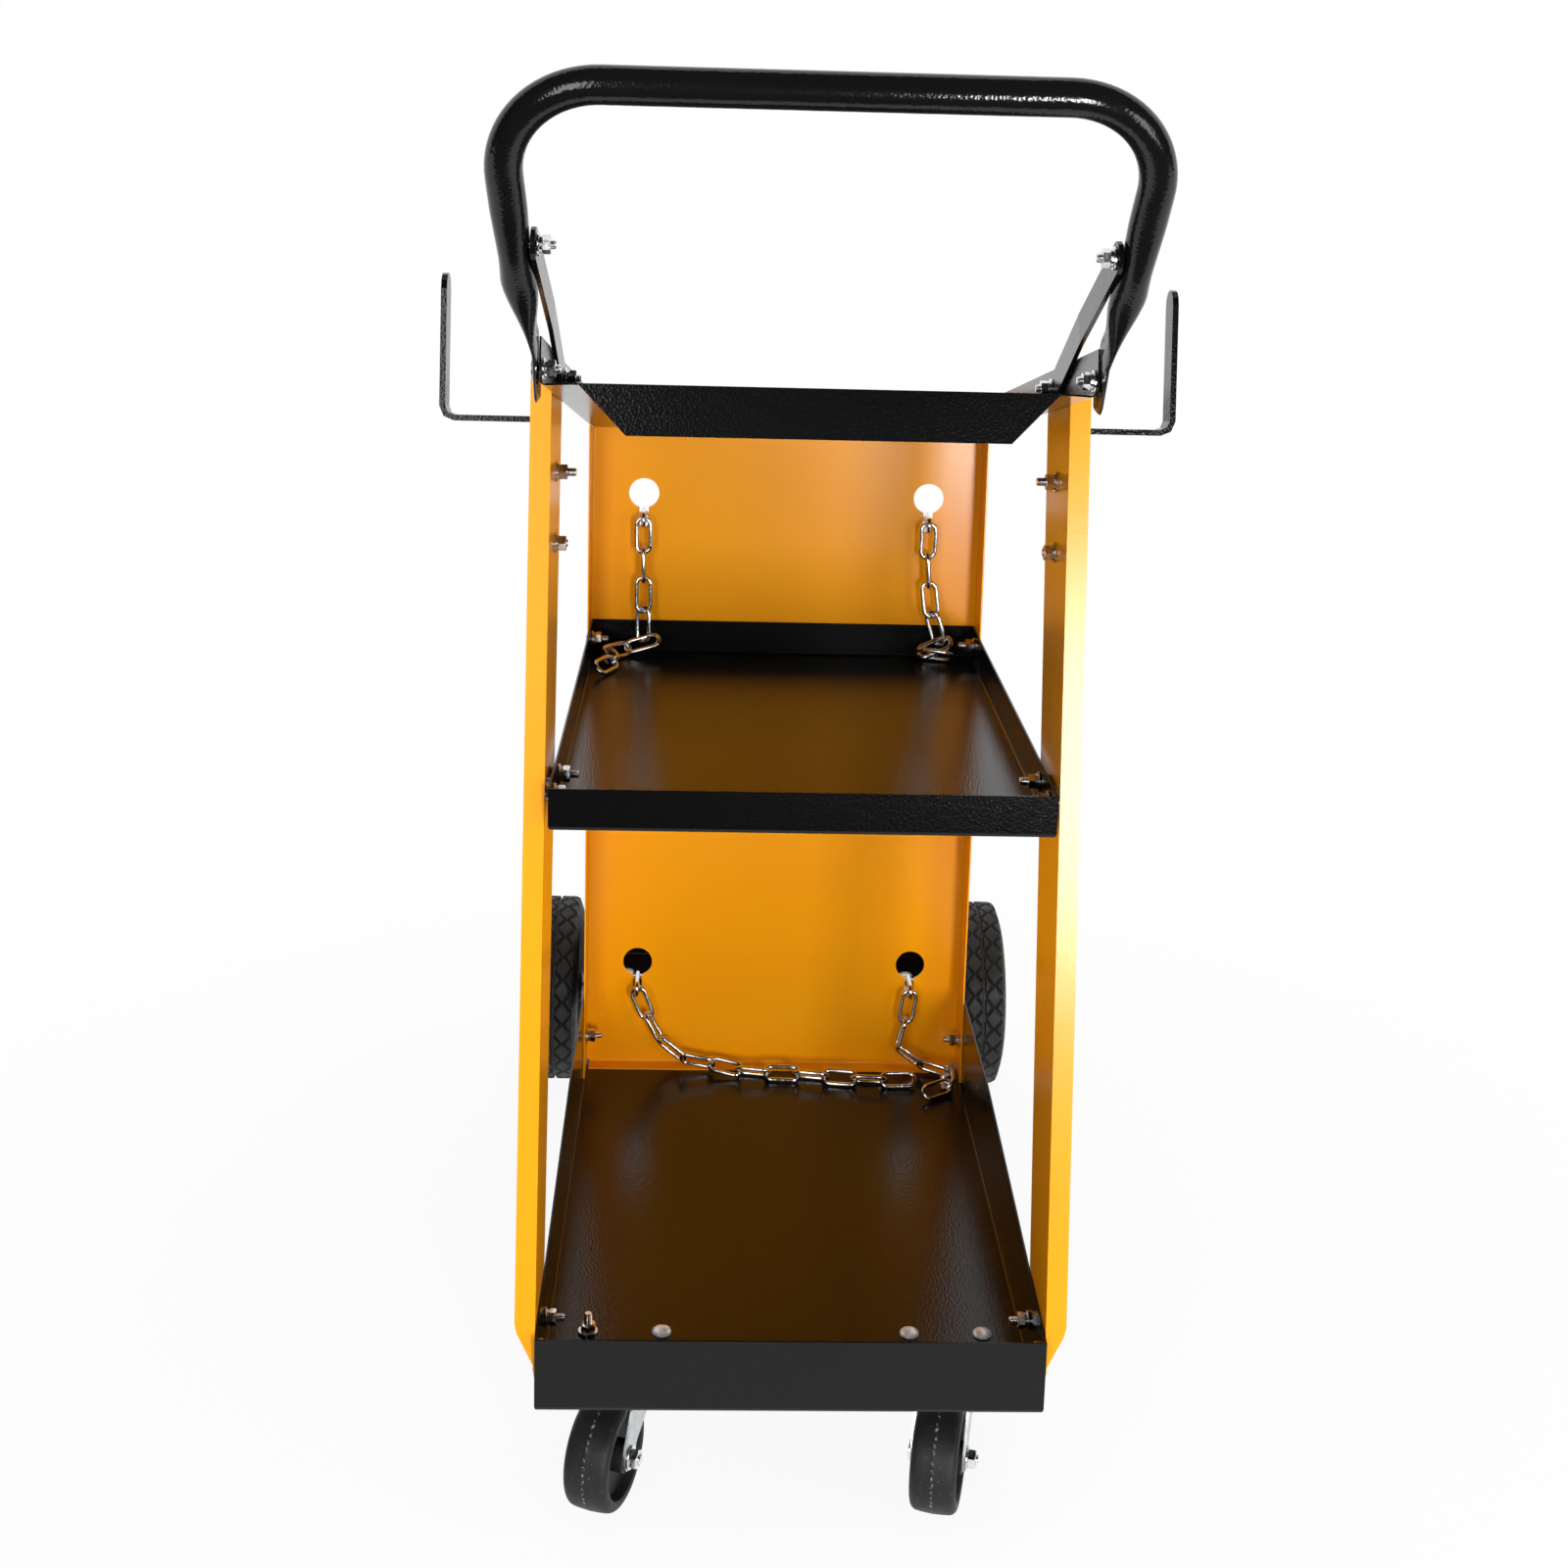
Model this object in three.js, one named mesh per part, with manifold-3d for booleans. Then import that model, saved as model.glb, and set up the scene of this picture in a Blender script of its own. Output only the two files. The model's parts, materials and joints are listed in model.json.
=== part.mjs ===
// Welding cart: three sheet-metal trays between a back panel and two leaning uprights, a bent tube handle,
// cable hooks, cylinder chains, two large rear wheels on an axle and two swivel casters.
// Millimetres, +Z up. The front of the cart, with the handle, faces -Y, and +X is its right seen from there.
// The measures below are taken from the ground and from the outer face of the base tray's front wall.

import * as THREE from 'three';
import { mergeVertices } from 'three/addons/utils/BufferGeometryUtils.js';
import Module from 'manifold-3d';

const wasm = await Module();
wasm.setup();

// Sheet and fits
const SHEET = 1.2; // thickness of every folded sheet
const FIT = 0.3; // clearance between pieces that touch or pass through each other
const BEND = 3; // outside radius of a fold

// Trays
const TRAY_WIDTH = 340; // outside width of the base tray and the top tray
const BASE_LENGTH = 760; // front wall to rear wall, cylinder platform included
const BASE_WALL_FRONT = 52; // height of the front wall and the rear wall
const BASE_WALL_REAR = 80; // height of the side walls where they hold the back panel
const BASE_RISE_END = 318; // where the side walls reach that height
const BASE_FALL_START = 560; // where they start to fall again, behind the panel
const MIDDLE_FRONT = 49; // front wall of the middle tray
const MIDDLE_FLOOR = 482; // underside of the middle tray
const MIDDLE_WALL = 29;
const TOP_EDGE_HEIGHT = 782; // underside of the top tray at its front edge
const TOP_SLOPE = THREE.MathUtils.degToRad(11.3); // the top tray falls to the rear
const TOP_WALL = 29;
const TOP_LIP = 30; // front edge folded down
const TOP_LIP_HALF = TRAY_WIDTH / 2 - 23; // half length at the fold; its ends are cut at 45 degrees
const TOP_CORNER_CUT = 10; // depth of the cut beside the lip

// Back panel
const PANEL_FRONT = 513; // front face of the panel
const PANEL_TOP = 717;
const PANEL_FLANGE = 40; // depth of the side flanges
const PANEL_FOOT = 15; // depth of the foot flange on the base tray
const KEYHOLE_OFFSET = TRAY_WIDTH / 2 - 47; // from the middle of the panel
const KEYHOLE_UPPER = 623; // height of the round part
const KEYHOLE_LOWER = 194;
const KEYHOLE_RADIUS = 13;
const SLOT_WIDTH = 8;
const SLOT_DROP = 30; // centre of the round part to the end of the slot

// Uprights
const UPRIGHT_FOOT = 100; // lower end
const UPRIGHT_TOP = 776; // front corner; the upper end slopes with the top tray
const UPRIGHT_FRONT_FOOT = 1; // front edge at the lower end
const UPRIGHT_FRONT_TOP = 103.5;
const UPRIGHT_DEPTH_FOOT = 72;
const UPRIGHT_DEPTH_TOP = 94;
const UPRIGHT_FLANGE = 12.5; // width of the flanges, turned outwards
const UPRIGHT_FLANGE_FOOT = 126; // lower end of the front flange
const UPRIGHT_CORNER_CUT = 24; // height of its cut outer corner

// Handle and struts
const TUBE_RADIUS = 11;
const HANDLE_LEAN = THREE.MathUtils.degToRad(30); // from the vertical, towards the front
const HANDLE_REACH = 194.5; // lower screw to the grip, along the lean
const HANDLE_SPLAY = 8.5; // how far each leg's round part spreads outwards
const HANDLE_BEND = 56; // centre line radius
const HANDLE_TAIL = 20; // lower screw to the end of the tube
const FLAT_THICKNESS = 4; // flattened ends
const FLAT_HALF_WIDTH = 16;
const FLAT_LENGTH = 20; // lower screw to where the flat part ends
const ROUND_START = 66; // lower screw to where the tube is round again
const LEG_STEP = 8.2; // how far the round part stands outside the flat part
const LEG_PINCH = 1.5; // how far the tube is pressed in by the strut's screw
const PINCH_LENGTH = 44; // round again past the strut's screw
const STRUT_HALF_WIDTH = 10;
const STRUT_THICKNESS = 3;
const STRUT_BEND_SHARE = 0.5; // of the way from its lower screw to its upper one

// Cable hooks, flat bar
const HOOK_WIDTH = 22;
const HOOK_THICKNESS = 4;
const HOOK_BEND = 6; // inside radius
const HOOK_TAIL = 62; // below its upper screw
const HOOK_RISE = 35; // upper screw to the arm
const HOOK_REACH = 74; // upright to the middle of the turned-up end
const HOOK_TURN_UP = 97;

// Screws, M6
const SCREW_RADIUS = 3;
const SCREW_HOLE = SCREW_RADIUS + 2 * FIT;
const HEX_RADIUS = 5.77; // across corners
const HEAD_RADIUS = 6.5; // low round head
const HEAD_HEIGHT = 2.6;
const FLAT_HEAD_HEIGHT = 1; // on the pressed ends of the handle
const NUT_HEIGHT = 5;
const WASHER_RADIUS = 7;
const WASHER_HEIGHT = 1.4;
const SPRING_WASHER_RADIUS = 5.4;
const SPRING_WASHER_HEIGHT = 1.6;
const SCREW_TAIL = 6; // thread past the nut
const DOME_RADIUS = 7; // round head of a caster bolt
const DOME_HEIGHT = 4;
const SHORT_TAIL = 0.5; // thread past the nut under a caster plate
const LONG_TAIL = 8; // and above the one bolt that is fitted upside down

// Screw places: distance behind the front wall, and height
const BASE_FRONT_SCREWS = [[30, 122], [67, 122]]; // near and far
const BASE_REAR_SCREW = [PANEL_FRONT - PANEL_FLANGE / 2, 132];
const MIDDLE_FRONT_SCREWS = [[78, 498], [120, 498]];
const MIDDLE_REAR_SCREW = [PANEL_FRONT - PANEL_FLANGE / 2, 498];
const HANDLE_SCREW = [11, 790];
const STRUT_SCREW = [150, 767];
const STRUT_REACH = 90; // lower handle screw to the strut's upper screw, along the lean
const HOOK_SCREW = [137, 705]; // upper one; the lower one follows the upright's lean
const HOOK_SCREW_PITCH = 48;
const TOP_REAR_SCREW_OFFSET = TRAY_WIDTH / 2 - 60;
const TOP_REAR_SCREW_RISE = 16; // above the underside of the tray at the panel

// Rear wheels and axle
const WHEEL_RADIUS = 88.5;
const WHEEL_WIDTH = 46;
const WHEEL_OFFSET = TRAY_WIDTH / 2 + 37; // middle of the wheel from the middle of the cart
const AXLE_Y = BASE_LENGTH - 64;
const AXLE_RADIUS = 6;
const RIM_RADIUS = 58;
const HUB_RADIUS = 15;
const WEB_THICKNESS = 5;
const COLLAR_RADIUS = 11; // collar on the axle inside each wheel
const CAP_RADIUS = 12;
const CAP_LENGTH = 9;
const AXLE_CAP_DEPTH = 6; // axle inside its cap
const SADDLE_OFFSET = TRAY_WIDTH / 2 - 30;
const SADDLE_WIDTH = 34;
const SADDLE_THICKNESS = 2.5;
const SADDLE_FLANGE = 18;

// Casters
const CASTER_HEIGHT = 95; // ground to the top of the plate
const CASTER_OFFSET = TRAY_WIDTH / 2 - 56; // swivel axis from the middle of the cart
const CASTER_Y = 70;
const CASTER_TRAIL = 32;
const CASTER_TURN = { left: 20, right: 14 }; // degrees that each caster stands turned
const CASTER_WHEEL_RADIUS = 38;
const CASTER_WHEEL_WIDTH = 32;
const CASTER_PLATE = [76, 64]; // across and along the cart
const CASTER_PLATE_THICKNESS = 2.5;
const CASTER_BOLT_PITCH = [52, 40];
const RACE_RADIUS = 22;
const RACE_HEIGHT = 7.5;
const KING_PIN_RADIUS = 5;
const FORK_THICKNESS = 2;
const FORK_GAP = 1; // wheel to fork on each side
const FORK_BEND = 4; // inside radius
const FORK_TOP_HALF = 27; // half length of the fork's top along the wheel
const FORK_EYE = 9; // half width of the fork's end round the wheel's bolt
const CASTER_HUB_RADIUS = 11;
const CASTER_DISH = 8; // depth of the wheel's hollow sides
const CASTER_BOLT_RADIUS = 4;
const CASTER_HEX_RADIUS = 7;
const CASTER_NUT = 6;
const CASTER_HEAD = 2; // flat round head

// Chains
const WIRE_RADIUS = 2;
const LINK_PITCH = 26; // joint to joint
const LINK_WIDTH = 16; // outside
const LINK_OVERLAP = 0.8; // how far the wires of joined links are pressed into each other
const LINK_TURNS = 4; // points round each end of a link
const WIRE_SIDES = 5;

// Facets
const ARC_STEPS = 2;
const TUBE_SIDES = 12;
const WHEEL_SIDES = 28;
const KEYHOLE_SIDES = 28;
const ROUND_SIDES = 16;
const SMALL_SIDES = 8;
const SCREW_SIDES = 6; // hexagons, and the thread between them

// Values that follow
const BASE_FLOOR = CASTER_HEIGHT + FIT;
const PANEL_HALF = TRAY_WIDTH / 2 - SHEET - FIT;
const MIDDLE_HALF = PANEL_HALF - SHEET - FIT;
const WEB_INSIDE = TRAY_WIDTH / 2 + FIT;
const WEB_OUTSIDE = WEB_INSIDE + SHEET;
const WALL_INSIDE = TRAY_WIDTH / 2 - SHEET;
const STRUT_OUTSIDE = WALL_INSIDE - FIT;
const STRUT_INSIDE = STRUT_OUTSIDE - STRUT_THICKNESS;
const FLAT_MIDDLE = TRAY_WIDTH / 2 + FIT + FLAT_THICKNESS / 2;
const UPRIGHT_LEAN = Math.atan2(UPRIGHT_FRONT_TOP - UPRIGHT_FRONT_FOOT, UPRIGHT_TOP - UPRIGHT_FOOT);
const LEAN_DIRECTION = [-Math.sin(HANDLE_LEAN), Math.cos(HANDLE_LEAN)];
const STRUT_UPPER_SCREW = alongLean(STRUT_REACH);
const HUB_INNER = WHEEL_OFFSET - WHEEL_WIDTH / 2;
const HUB_OUTER = WHEEL_OFFSET + WHEEL_WIDTH / 2;
const FRONT_REACH = alongLean(HANDLE_REACH)[0] - TUBE_RADIUS;
const REAR_REACH = AXLE_Y + WHEEL_RADIUS;

function alongLean(distance) {
  return HANDLE_SCREW.map((start, axis) => start + distance * LEAN_DIRECTION[axis]);
}

// Underside of the top tray at a distance behind the front wall
function topUnderside(y) {
  return TOP_EDGE_HEIGHT - y * Math.tan(TOP_SLOPE);
}

const finish = {
  yellow: { color: 0xf2a516, roughness: 0.3, metalness: 0 },
  black: { color: 0x1a1a1b, roughness: 0.35, metalness: 0 },
  zinc: { color: 0xc9c9c6, roughness: 0.3, metalness: 1 },
  rubber: { color: 0x2b2b2a, roughness: 0.8, metalness: 0 },
  plastic: { color: 0x1f1f20, roughness: 0.5, metalness: 0 },
};

// Joining and cutting
function toSolid(geometry) {
  const bare = geometry.clone();
  bare.deleteAttribute('normal');
  bare.deleteAttribute('uv');
  const merged = mergeVertices(bare, 1e-4);
  return new wasm.Manifold(new wasm.Mesh({
    numProp: 3,
    vertProperties: new Float32Array(merged.attributes.position.array),
    triVerts: new Uint32Array(merged.index.array),
  }));
}

function toGeometry(solid) {
  const mesh = solid.getMesh();
  const geometry = new THREE.BufferGeometry();
  geometry.setAttribute('position', new THREE.BufferAttribute(new Float32Array(mesh.vertProperties), 3));
  geometry.setIndex(new THREE.BufferAttribute(new Uint32Array(mesh.triVerts), 1));
  return geometry;
}

function join(...geometries) {
  return toGeometry(geometries.map(toSolid).reduce((sum, solid) => sum.add(solid)));
}

function cut(geometry, ...tools) {
  return toGeometry(tools.map(toSolid).reduce((rest, tool) => rest.subtract(tool), toSolid(geometry)));
}

function common(a, b) {
  return toGeometry(toSolid(a).intersect(toSolid(b)));
}

// Outlines: corners are [x, y] or [x, y, radius]
function rounded(corners) {
  const points = [];
  corners.forEach(([x, y, radius = 0], index) => {
    const corner = new THREE.Vector2(x, y);
    if (radius === 0) {
      points.push(corner);
      return;
    }
    const before = corners[(index + corners.length - 1) % corners.length];
    const after = corners[(index + 1) % corners.length];
    const back = new THREE.Vector2(before[0], before[1]).sub(corner).normalize();
    const on = new THREE.Vector2(after[0], after[1]).sub(corner).normalize();
    const half = Math.acos(back.dot(on)) / 2;
    const centre = back.clone().add(on).normalize().multiplyScalar(radius / Math.sin(half)).add(corner);
    const from = back.multiplyScalar(radius / Math.tan(half)).add(corner).sub(centre).angle();
    const to = on.multiplyScalar(radius / Math.tan(half)).add(corner).sub(centre).angle();
    const sweep = Math.atan2(Math.sin(to - from), Math.cos(to - from));
    for (let step = 0; step <= ARC_STEPS; step += 1) {
      const angle = from + (sweep * step) / ARC_STEPS;
      points.push(new THREE.Vector2(Math.cos(angle), Math.sin(angle)).multiplyScalar(radius).add(centre));
    }
  });
  return points;
}

// Outline of a strip that follows a line of corners, with its bends rounded
function bentStrip(corners, thickness, insideRadius) {
  const radius = insideRadius + thickness / 2;
  const inner = corners.slice(1, -1).map(([x, y]) => [x, y, radius]);
  const line = rounded([corners[0], ...inner, corners[corners.length - 1]]);
  const sides = [1, -1].map((side) => line.map((point, index) => {
    const last = line[Math.max(index - 1, 0)];
    const next = line[Math.min(index + 1, line.length - 1)];
    const run = next.clone().sub(last).normalize();
    return new THREE.Vector2(-run.y, run.x).multiplyScalar((side * thickness) / 2).add(point);
  }));
  return [...sides[0], ...sides[1].reverse()];
}

// Outline with round ends about two points, each a [y, z] pair
function linkOutline([fromY, fromZ], [toY, toZ], radius) {
  const angle = Math.atan2(toZ - fromZ, toY - fromY);
  const points = [];
  for (let step = 0; step <= 2 * ARC_STEPS + 2; step += 1) {
    const turn = angle - Math.PI / 2 + (Math.PI * step) / (2 * ARC_STEPS + 2);
    points.push(new THREE.Vector2(toY + radius * Math.cos(turn), toZ + radius * Math.sin(turn)));
  }
  const far = points.map((point) => new THREE.Vector2(fromY + toY - point.x, fromZ + toZ - point.y));
  return [...points, ...far];
}

function extrude(points, length) {
  return new THREE.ExtrudeGeometry(new THREE.Shape(points), { depth: length, bevelEnabled: false });
}

// A (y, z) outline run along X, an (x, z) outline along Y, an (x, y) outline along Z
function alongX(points, from, to) {
  const basis = new THREE.Matrix4().set(0, 0, 1, from, 1, 0, 0, 0, 0, 1, 0, 0, 0, 0, 0, 1);
  return extrude(points, to - from).applyMatrix4(basis);
}

function alongY(points, from, to) {
  const basis = new THREE.Matrix4().set(1, 0, 0, 0, 0, 0, -1, to, 0, 1, 0, 0, 0, 0, 0, 1);
  return extrude(points, to - from).applyMatrix4(basis);
}

function alongZ(points, from, to) {
  return extrude(points, to - from).translate(0, 0, from);
}

function flatOutline(corners) {
  return corners.map(([x, y]) => new THREE.Vector2(x, y));
}

// Rods about an axis, and bodies turned about X
function rodX(radius, from, to, y, z, sides = SMALL_SIDES) {
  return new THREE.CylinderGeometry(radius, radius, to - from, sides)
    .rotateZ(-Math.PI / 2).translate((from + to) / 2, y, z);
}

function rodY(radius, from, to, x, z, sides = SMALL_SIDES) {
  return new THREE.CylinderGeometry(radius, radius, to - from, sides).translate(x, (from + to) / 2, z);
}

function rodZ(radius, from, to, x, y, sides = SMALL_SIDES) {
  return new THREE.CylinderGeometry(radius, radius, to - from, sides)
    .rotateX(Math.PI / 2).translate(x, y, (from + to) / 2);
}

// Profile points are [radius, place along the axis], in rising order along the outside
function turned(profile, sides) {
  const points = profile.map(([radius, place]) => new THREE.Vector2(radius, place));
  return new THREE.LatheGeometry(points, sides);
}

function turnedX(profile, sides) {
  return turned(profile, sides).rotateZ(-Math.PI / 2);
}

function turnedZ(profile, sides) {
  return turned(profile, sides).rotateX(Math.PI / 2);
}

// Screw holes through both sides of the cart
function sideHole([y, z]) {
  return rodX(SCREW_HOLE, -TRAY_WIDTH, TRAY_WIDTH, y, z, SMALL_SIDES);
}

const cart = new THREE.Group();

function add(name, geometry, look, parent = cart) {
  const mesh = new THREE.Mesh(geometry, new THREE.MeshStandardMaterial(finish[look]));
  mesh.name = name;
  parent.add(mesh);
  return mesh;
}

const SIDES = [['left', -1], ['right', 1]];

// A pan with walls turned up: the wall line runs from front to rear along the tops of the side walls
function pan(halfWidth, front, rear, floor, wallLine) {
  const above = Math.max(...wallLine.map(([, z]) => z)) + BEND;
  const body = (inset, radius) => {
    const top = inset > 0 ? [[rear - inset, above], [front + inset, above]] : [...wallLine].reverse();
    const length = [...top, [front + inset, floor + inset, radius], [rear - inset, floor + inset, radius]];
    const half = halfWidth - inset;
    const across = [
      [half, above], [-half, above], [-half, floor + inset, radius], [half, floor + inset, radius],
    ];
    return common(alongX(rounded(length), -halfWidth, halfWidth), alongY(rounded(across), front, rear));
  };
  return cut(body(0, BEND), body(SHEET, BEND - SHEET));
}

function makeBaseTray() {
  const wallLine = [
    [0, BASE_FLOOR + BASE_WALL_FRONT],
    [BASE_RISE_END, BASE_FLOOR + BASE_WALL_REAR],
    [BASE_FALL_START, BASE_FLOOR + BASE_WALL_REAR],
    [BASE_LENGTH, BASE_FLOOR + BASE_WALL_FRONT],
  ];
  const tray = pan(TRAY_WIDTH / 2, 0, BASE_LENGTH, BASE_FLOOR, wallLine);
  const boltHoles = casterBoltPlaces().map(({ x, y }) => (
    rodZ(SCREW_HOLE, BASE_FLOOR - SHEET, BASE_FLOOR + 2 * SHEET, x, y)));
  return cut(tray, ...BASE_FRONT_SCREWS.map(sideHole), sideHole(BASE_REAR_SCREW), ...boltHoles);
}

function casterBoltPlaces() {
  const places = [];
  SIDES.forEach(([side, sign]) => {
    [['outer', 1], ['inner', -1]].forEach(([place, across]) => {
      [['rear', 1], ['front', -1]].forEach(([row, along]) => {
        const x = sign * (CASTER_OFFSET + (across * CASTER_BOLT_PITCH[0]) / 2);
        const y = CASTER_Y + (along * CASTER_BOLT_PITCH[1]) / 2;
        places.push({ side, place, row, x, y });
      });
    });
  });
  return places;
}

function makeMiddleTray() {
  const rear = PANEL_FRONT - BEND + SHEET;
  const wall = MIDDLE_FLOOR + MIDDLE_WALL;
  const tray = pan(MIDDLE_HALF, MIDDLE_FRONT, rear, MIDDLE_FLOOR, [[MIDDLE_FRONT, wall], [rear, wall]]);
  return cut(tray, ...MIDDLE_FRONT_SCREWS.map(sideHole), sideHole(MIDDLE_REAR_SCREW));
}

// The top tray is drawn level, with its front edge at the origin, and then tilted down to the rear
function makeTopTray() {
  const length = (PANEL_FRONT - FIT) / Math.cos(TOP_SLOPE);
  const leanBack = Math.tan(TOP_SLOPE);
  const half = TRAY_WIDTH / 2;
  const body = (inset, radius) => {
    const high = inset > 0 ? 2 * TOP_WALL : TOP_WALL;
    const start = inset > 0 ? -BEND : 0;
    const rear = length - inset / Math.cos(TOP_SLOPE);
    const side = [
      [rear - high * leanBack, high], [start, high], [start, inset], [rear - inset * leanBack, inset, radius],
    ];
    const across = [
      [half - inset, high], [inset - half, high], [inset - half, inset, radius], [half - inset, inset, radius],
    ];
    return common(alongX(rounded(side), -half, half), alongY(rounded(across), start, length));
  };
  const shell = cut(body(0, BEND), body(SHEET, BEND - SHEET));
  const corner = [
    [half + BEND, -BEND], [half + BEND, TOP_CORNER_CUT], [half - BEND, TOP_CORNER_CUT], [TOP_LIP_HALF, -BEND],
  ];
  const corners = [1, -1].map((sign) => {
    const points = flatOutline(corner.map(([x, y]) => [sign * x, y]));
    return alongZ(sign > 0 ? points : points.reverse(), -BEND, BEND);
  });
  const lip = alongY(flatOutline([
    [-TOP_LIP_HALF, SHEET], [TOP_LIP - TOP_LIP_HALF, -TOP_LIP],
    [TOP_LIP_HALF - TOP_LIP, -TOP_LIP], [TOP_LIP_HALF, SHEET],
  ]), 0, SHEET);
  const level = join(cut(shell, ...corners), lip);
  const tilted = level.rotateX(-TOP_SLOPE).translate(0, 0, TOP_EDGE_HEIGHT);
  return cut(tilted, sideHole(HANDLE_SCREW), sideHole(STRUT_SCREW), ...topRearHoles());
}

function topRearHoles() {
  const height = topUnderside(PANEL_FRONT) + TOP_REAR_SCREW_RISE;
  const [front, rear] = [PANEL_FRONT - PANEL_FLANGE, PANEL_FRONT + PANEL_FLANGE];
  return [1, -1].map((sign) => rodY(SCREW_HOLE, front, rear, sign * TOP_REAR_SCREW_OFFSET, height));
}

function makeBackPanel() {
  const foot = BASE_FLOOR + SHEET + FIT;
  const back = PANEL_FRONT + SHEET;
  const open = PANEL_FRONT - PANEL_FLANGE;
  const body = (inset, radius) => {
    const half = PANEL_HALF - inset;
    const front = open - inset;
    const corners = [
      [-half, front], [half, front], [half, back - inset, radius], [-half, back - inset, radius],
    ];
    return alongZ(rounded(corners), foot + BEND - inset, PANEL_TOP + inset);
  };
  const channel = cut(body(0, BEND), body(SHEET, BEND - SHEET));
  const footLine = [
    [PANEL_FRONT - PANEL_FOOT, foot + SHEET / 2],
    [PANEL_FRONT + SHEET / 2, foot + SHEET / 2],
    [PANEL_FRONT + SHEET / 2, foot + PANEL_FOOT],
  ];
  const footHalf = PANEL_HALF - BEND;
  const footFlange = alongX(bentStrip(footLine, SHEET, BEND - SHEET), -footHalf, footHalf);
  const clearTray = alongX(flatOutline([
    [open - BEND, topUnderside(open - BEND) - FIT],
    [PANEL_FRONT, topUnderside(PANEL_FRONT) - FIT],
    [PANEL_FRONT, PANEL_TOP + BEND],
    [open - BEND, PANEL_TOP + BEND],
  ]), -TRAY_WIDTH, TRAY_WIDTH);
  const keyholes = [];
  [KEYHOLE_UPPER, KEYHOLE_LOWER].forEach((height) => {
    [1, -1].forEach((sign) => {
      const x = sign * KEYHOLE_OFFSET;
      const half = SLOT_WIDTH / 2;
      keyholes.push(rodY(KEYHOLE_RADIUS, PANEL_FRONT - BEND, back + BEND, x, height, KEYHOLE_SIDES));
      const slot = [
        [x + half, height], [x - half, height],
        [x - half, height - SLOT_DROP, half * 0.98], [x + half, height - SLOT_DROP, half * 0.98],
      ];
      keyholes.push(alongY(rounded(slot), PANEL_FRONT - BEND, back + BEND));
    });
  });
  const panel = join(cut(channel, clearTray), footFlange);
  return cut(panel, ...keyholes, sideHole(BASE_REAR_SCREW), sideHole(MIDDLE_REAR_SCREW), ...topRearHoles());
}

function uprightFront(z) {
  return UPRIGHT_FRONT_FOOT + (z - UPRIGHT_FOOT) * Math.tan(UPRIGHT_LEAN);
}

function uprightRear(z) {
  const share = (z - UPRIGHT_FOOT) / (UPRIGHT_TOP - UPRIGHT_FOOT);
  return uprightFront(z) + UPRIGHT_DEPTH_FOOT + share * (UPRIGHT_DEPTH_TOP - UPRIGHT_DEPTH_FOOT);
}

// Right-hand upright; the left one is its mirror image
function makeUpright() {
  const outside = WEB_INSIDE + SHEET + UPRIGHT_FLANGE;
  const above = UPRIGHT_TOP + BEND;
  const strip = (edge, step, low) => flatOutline([
    [edge(low), low], [edge(low) + step, low], [edge(above) + step, above], [edge(above), above],
  ]);
  const web = alongX(flatOutline([
    [uprightFront(UPRIGHT_FOOT), UPRIGHT_FOOT], [uprightRear(UPRIGHT_FOOT), UPRIGHT_FOOT],
    [uprightRear(above), above], [uprightFront(above), above],
  ]), WEB_INSIDE, WEB_OUTSIDE);
  const front = alongX(strip(uprightFront, SHEET, UPRIGHT_FLANGE_FOOT), WEB_INSIDE, outside);
  const rear = alongX(strip(uprightRear, -SHEET, UPRIGHT_FLANGE_FOOT).reverse(), WEB_INSIDE, outside);
  const cutTop = UPRIGHT_FLANGE_FOOT + UPRIGHT_CORNER_CUT;
  const corner = alongY(flatOutline([
    [WEB_OUTSIDE, UPRIGHT_FLANGE_FOOT - BEND], [outside + BEND, UPRIGHT_FLANGE_FOOT - BEND],
    [outside + BEND, cutTop + BEND], [outside, cutTop + BEND], [outside - BEND / 2, cutTop - BEND],
    [WEB_OUTSIDE, UPRIGHT_FLANGE_FOOT],
  ]), -UPRIGHT_DEPTH_TOP, 2 * UPRIGHT_DEPTH_TOP);
  const toe = uprightFront(UPRIGHT_FOOT);
  const footCut = alongX(flatOutline([
    [toe - BEND, UPRIGHT_FOOT - BEND], [toe + UPRIGHT_CORNER_CUT, UPRIGHT_FOOT - BEND],
    [toe + UPRIGHT_CORNER_CUT, UPRIGHT_FOOT], [toe, UPRIGHT_FLANGE_FOOT], [toe - BEND, UPRIGHT_FLANGE_FOOT],
  ]), 0, TRAY_WIDTH);
  const topAt = (y) => UPRIGHT_TOP - (y - uprightFront(UPRIGHT_TOP)) * Math.tan(TOP_SLOPE);
  const far = 3 * UPRIGHT_DEPTH_TOP;
  const topCut = alongX(flatOutline([
    [0, topAt(0)], [far, topAt(far)], [far, 2 * UPRIGHT_TOP], [0, 2 * UPRIGHT_TOP],
  ]), 0, TRAY_WIDTH);
  const holes = [...BASE_FRONT_SCREWS, ...MIDDLE_FRONT_SCREWS, STRUT_SCREW, ...hookScrews()].map(sideHole);
  return cut(join(web, front, rear), corner, footCut, topCut, ...holes);
}

function hookScrews() {
  const [y, z] = HOOK_SCREW;
  return [
    HOOK_SCREW,
    [y - HOOK_SCREW_PITCH * Math.sin(UPRIGHT_LEAN), z - HOOK_SCREW_PITCH * Math.cos(UPRIGHT_LEAN)],
  ];
}

function mirrorX(geometry) {
  const mirrored = geometry.clone().scale(-1, 1, 1);
  const index = mirrored.index.array;
  for (let face = 0; face < index.length; face += 3) {
    [index[face + 1], index[face + 2]] = [index[face + 2], index[face + 1]];
  }
  return mirrored;
}

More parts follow.
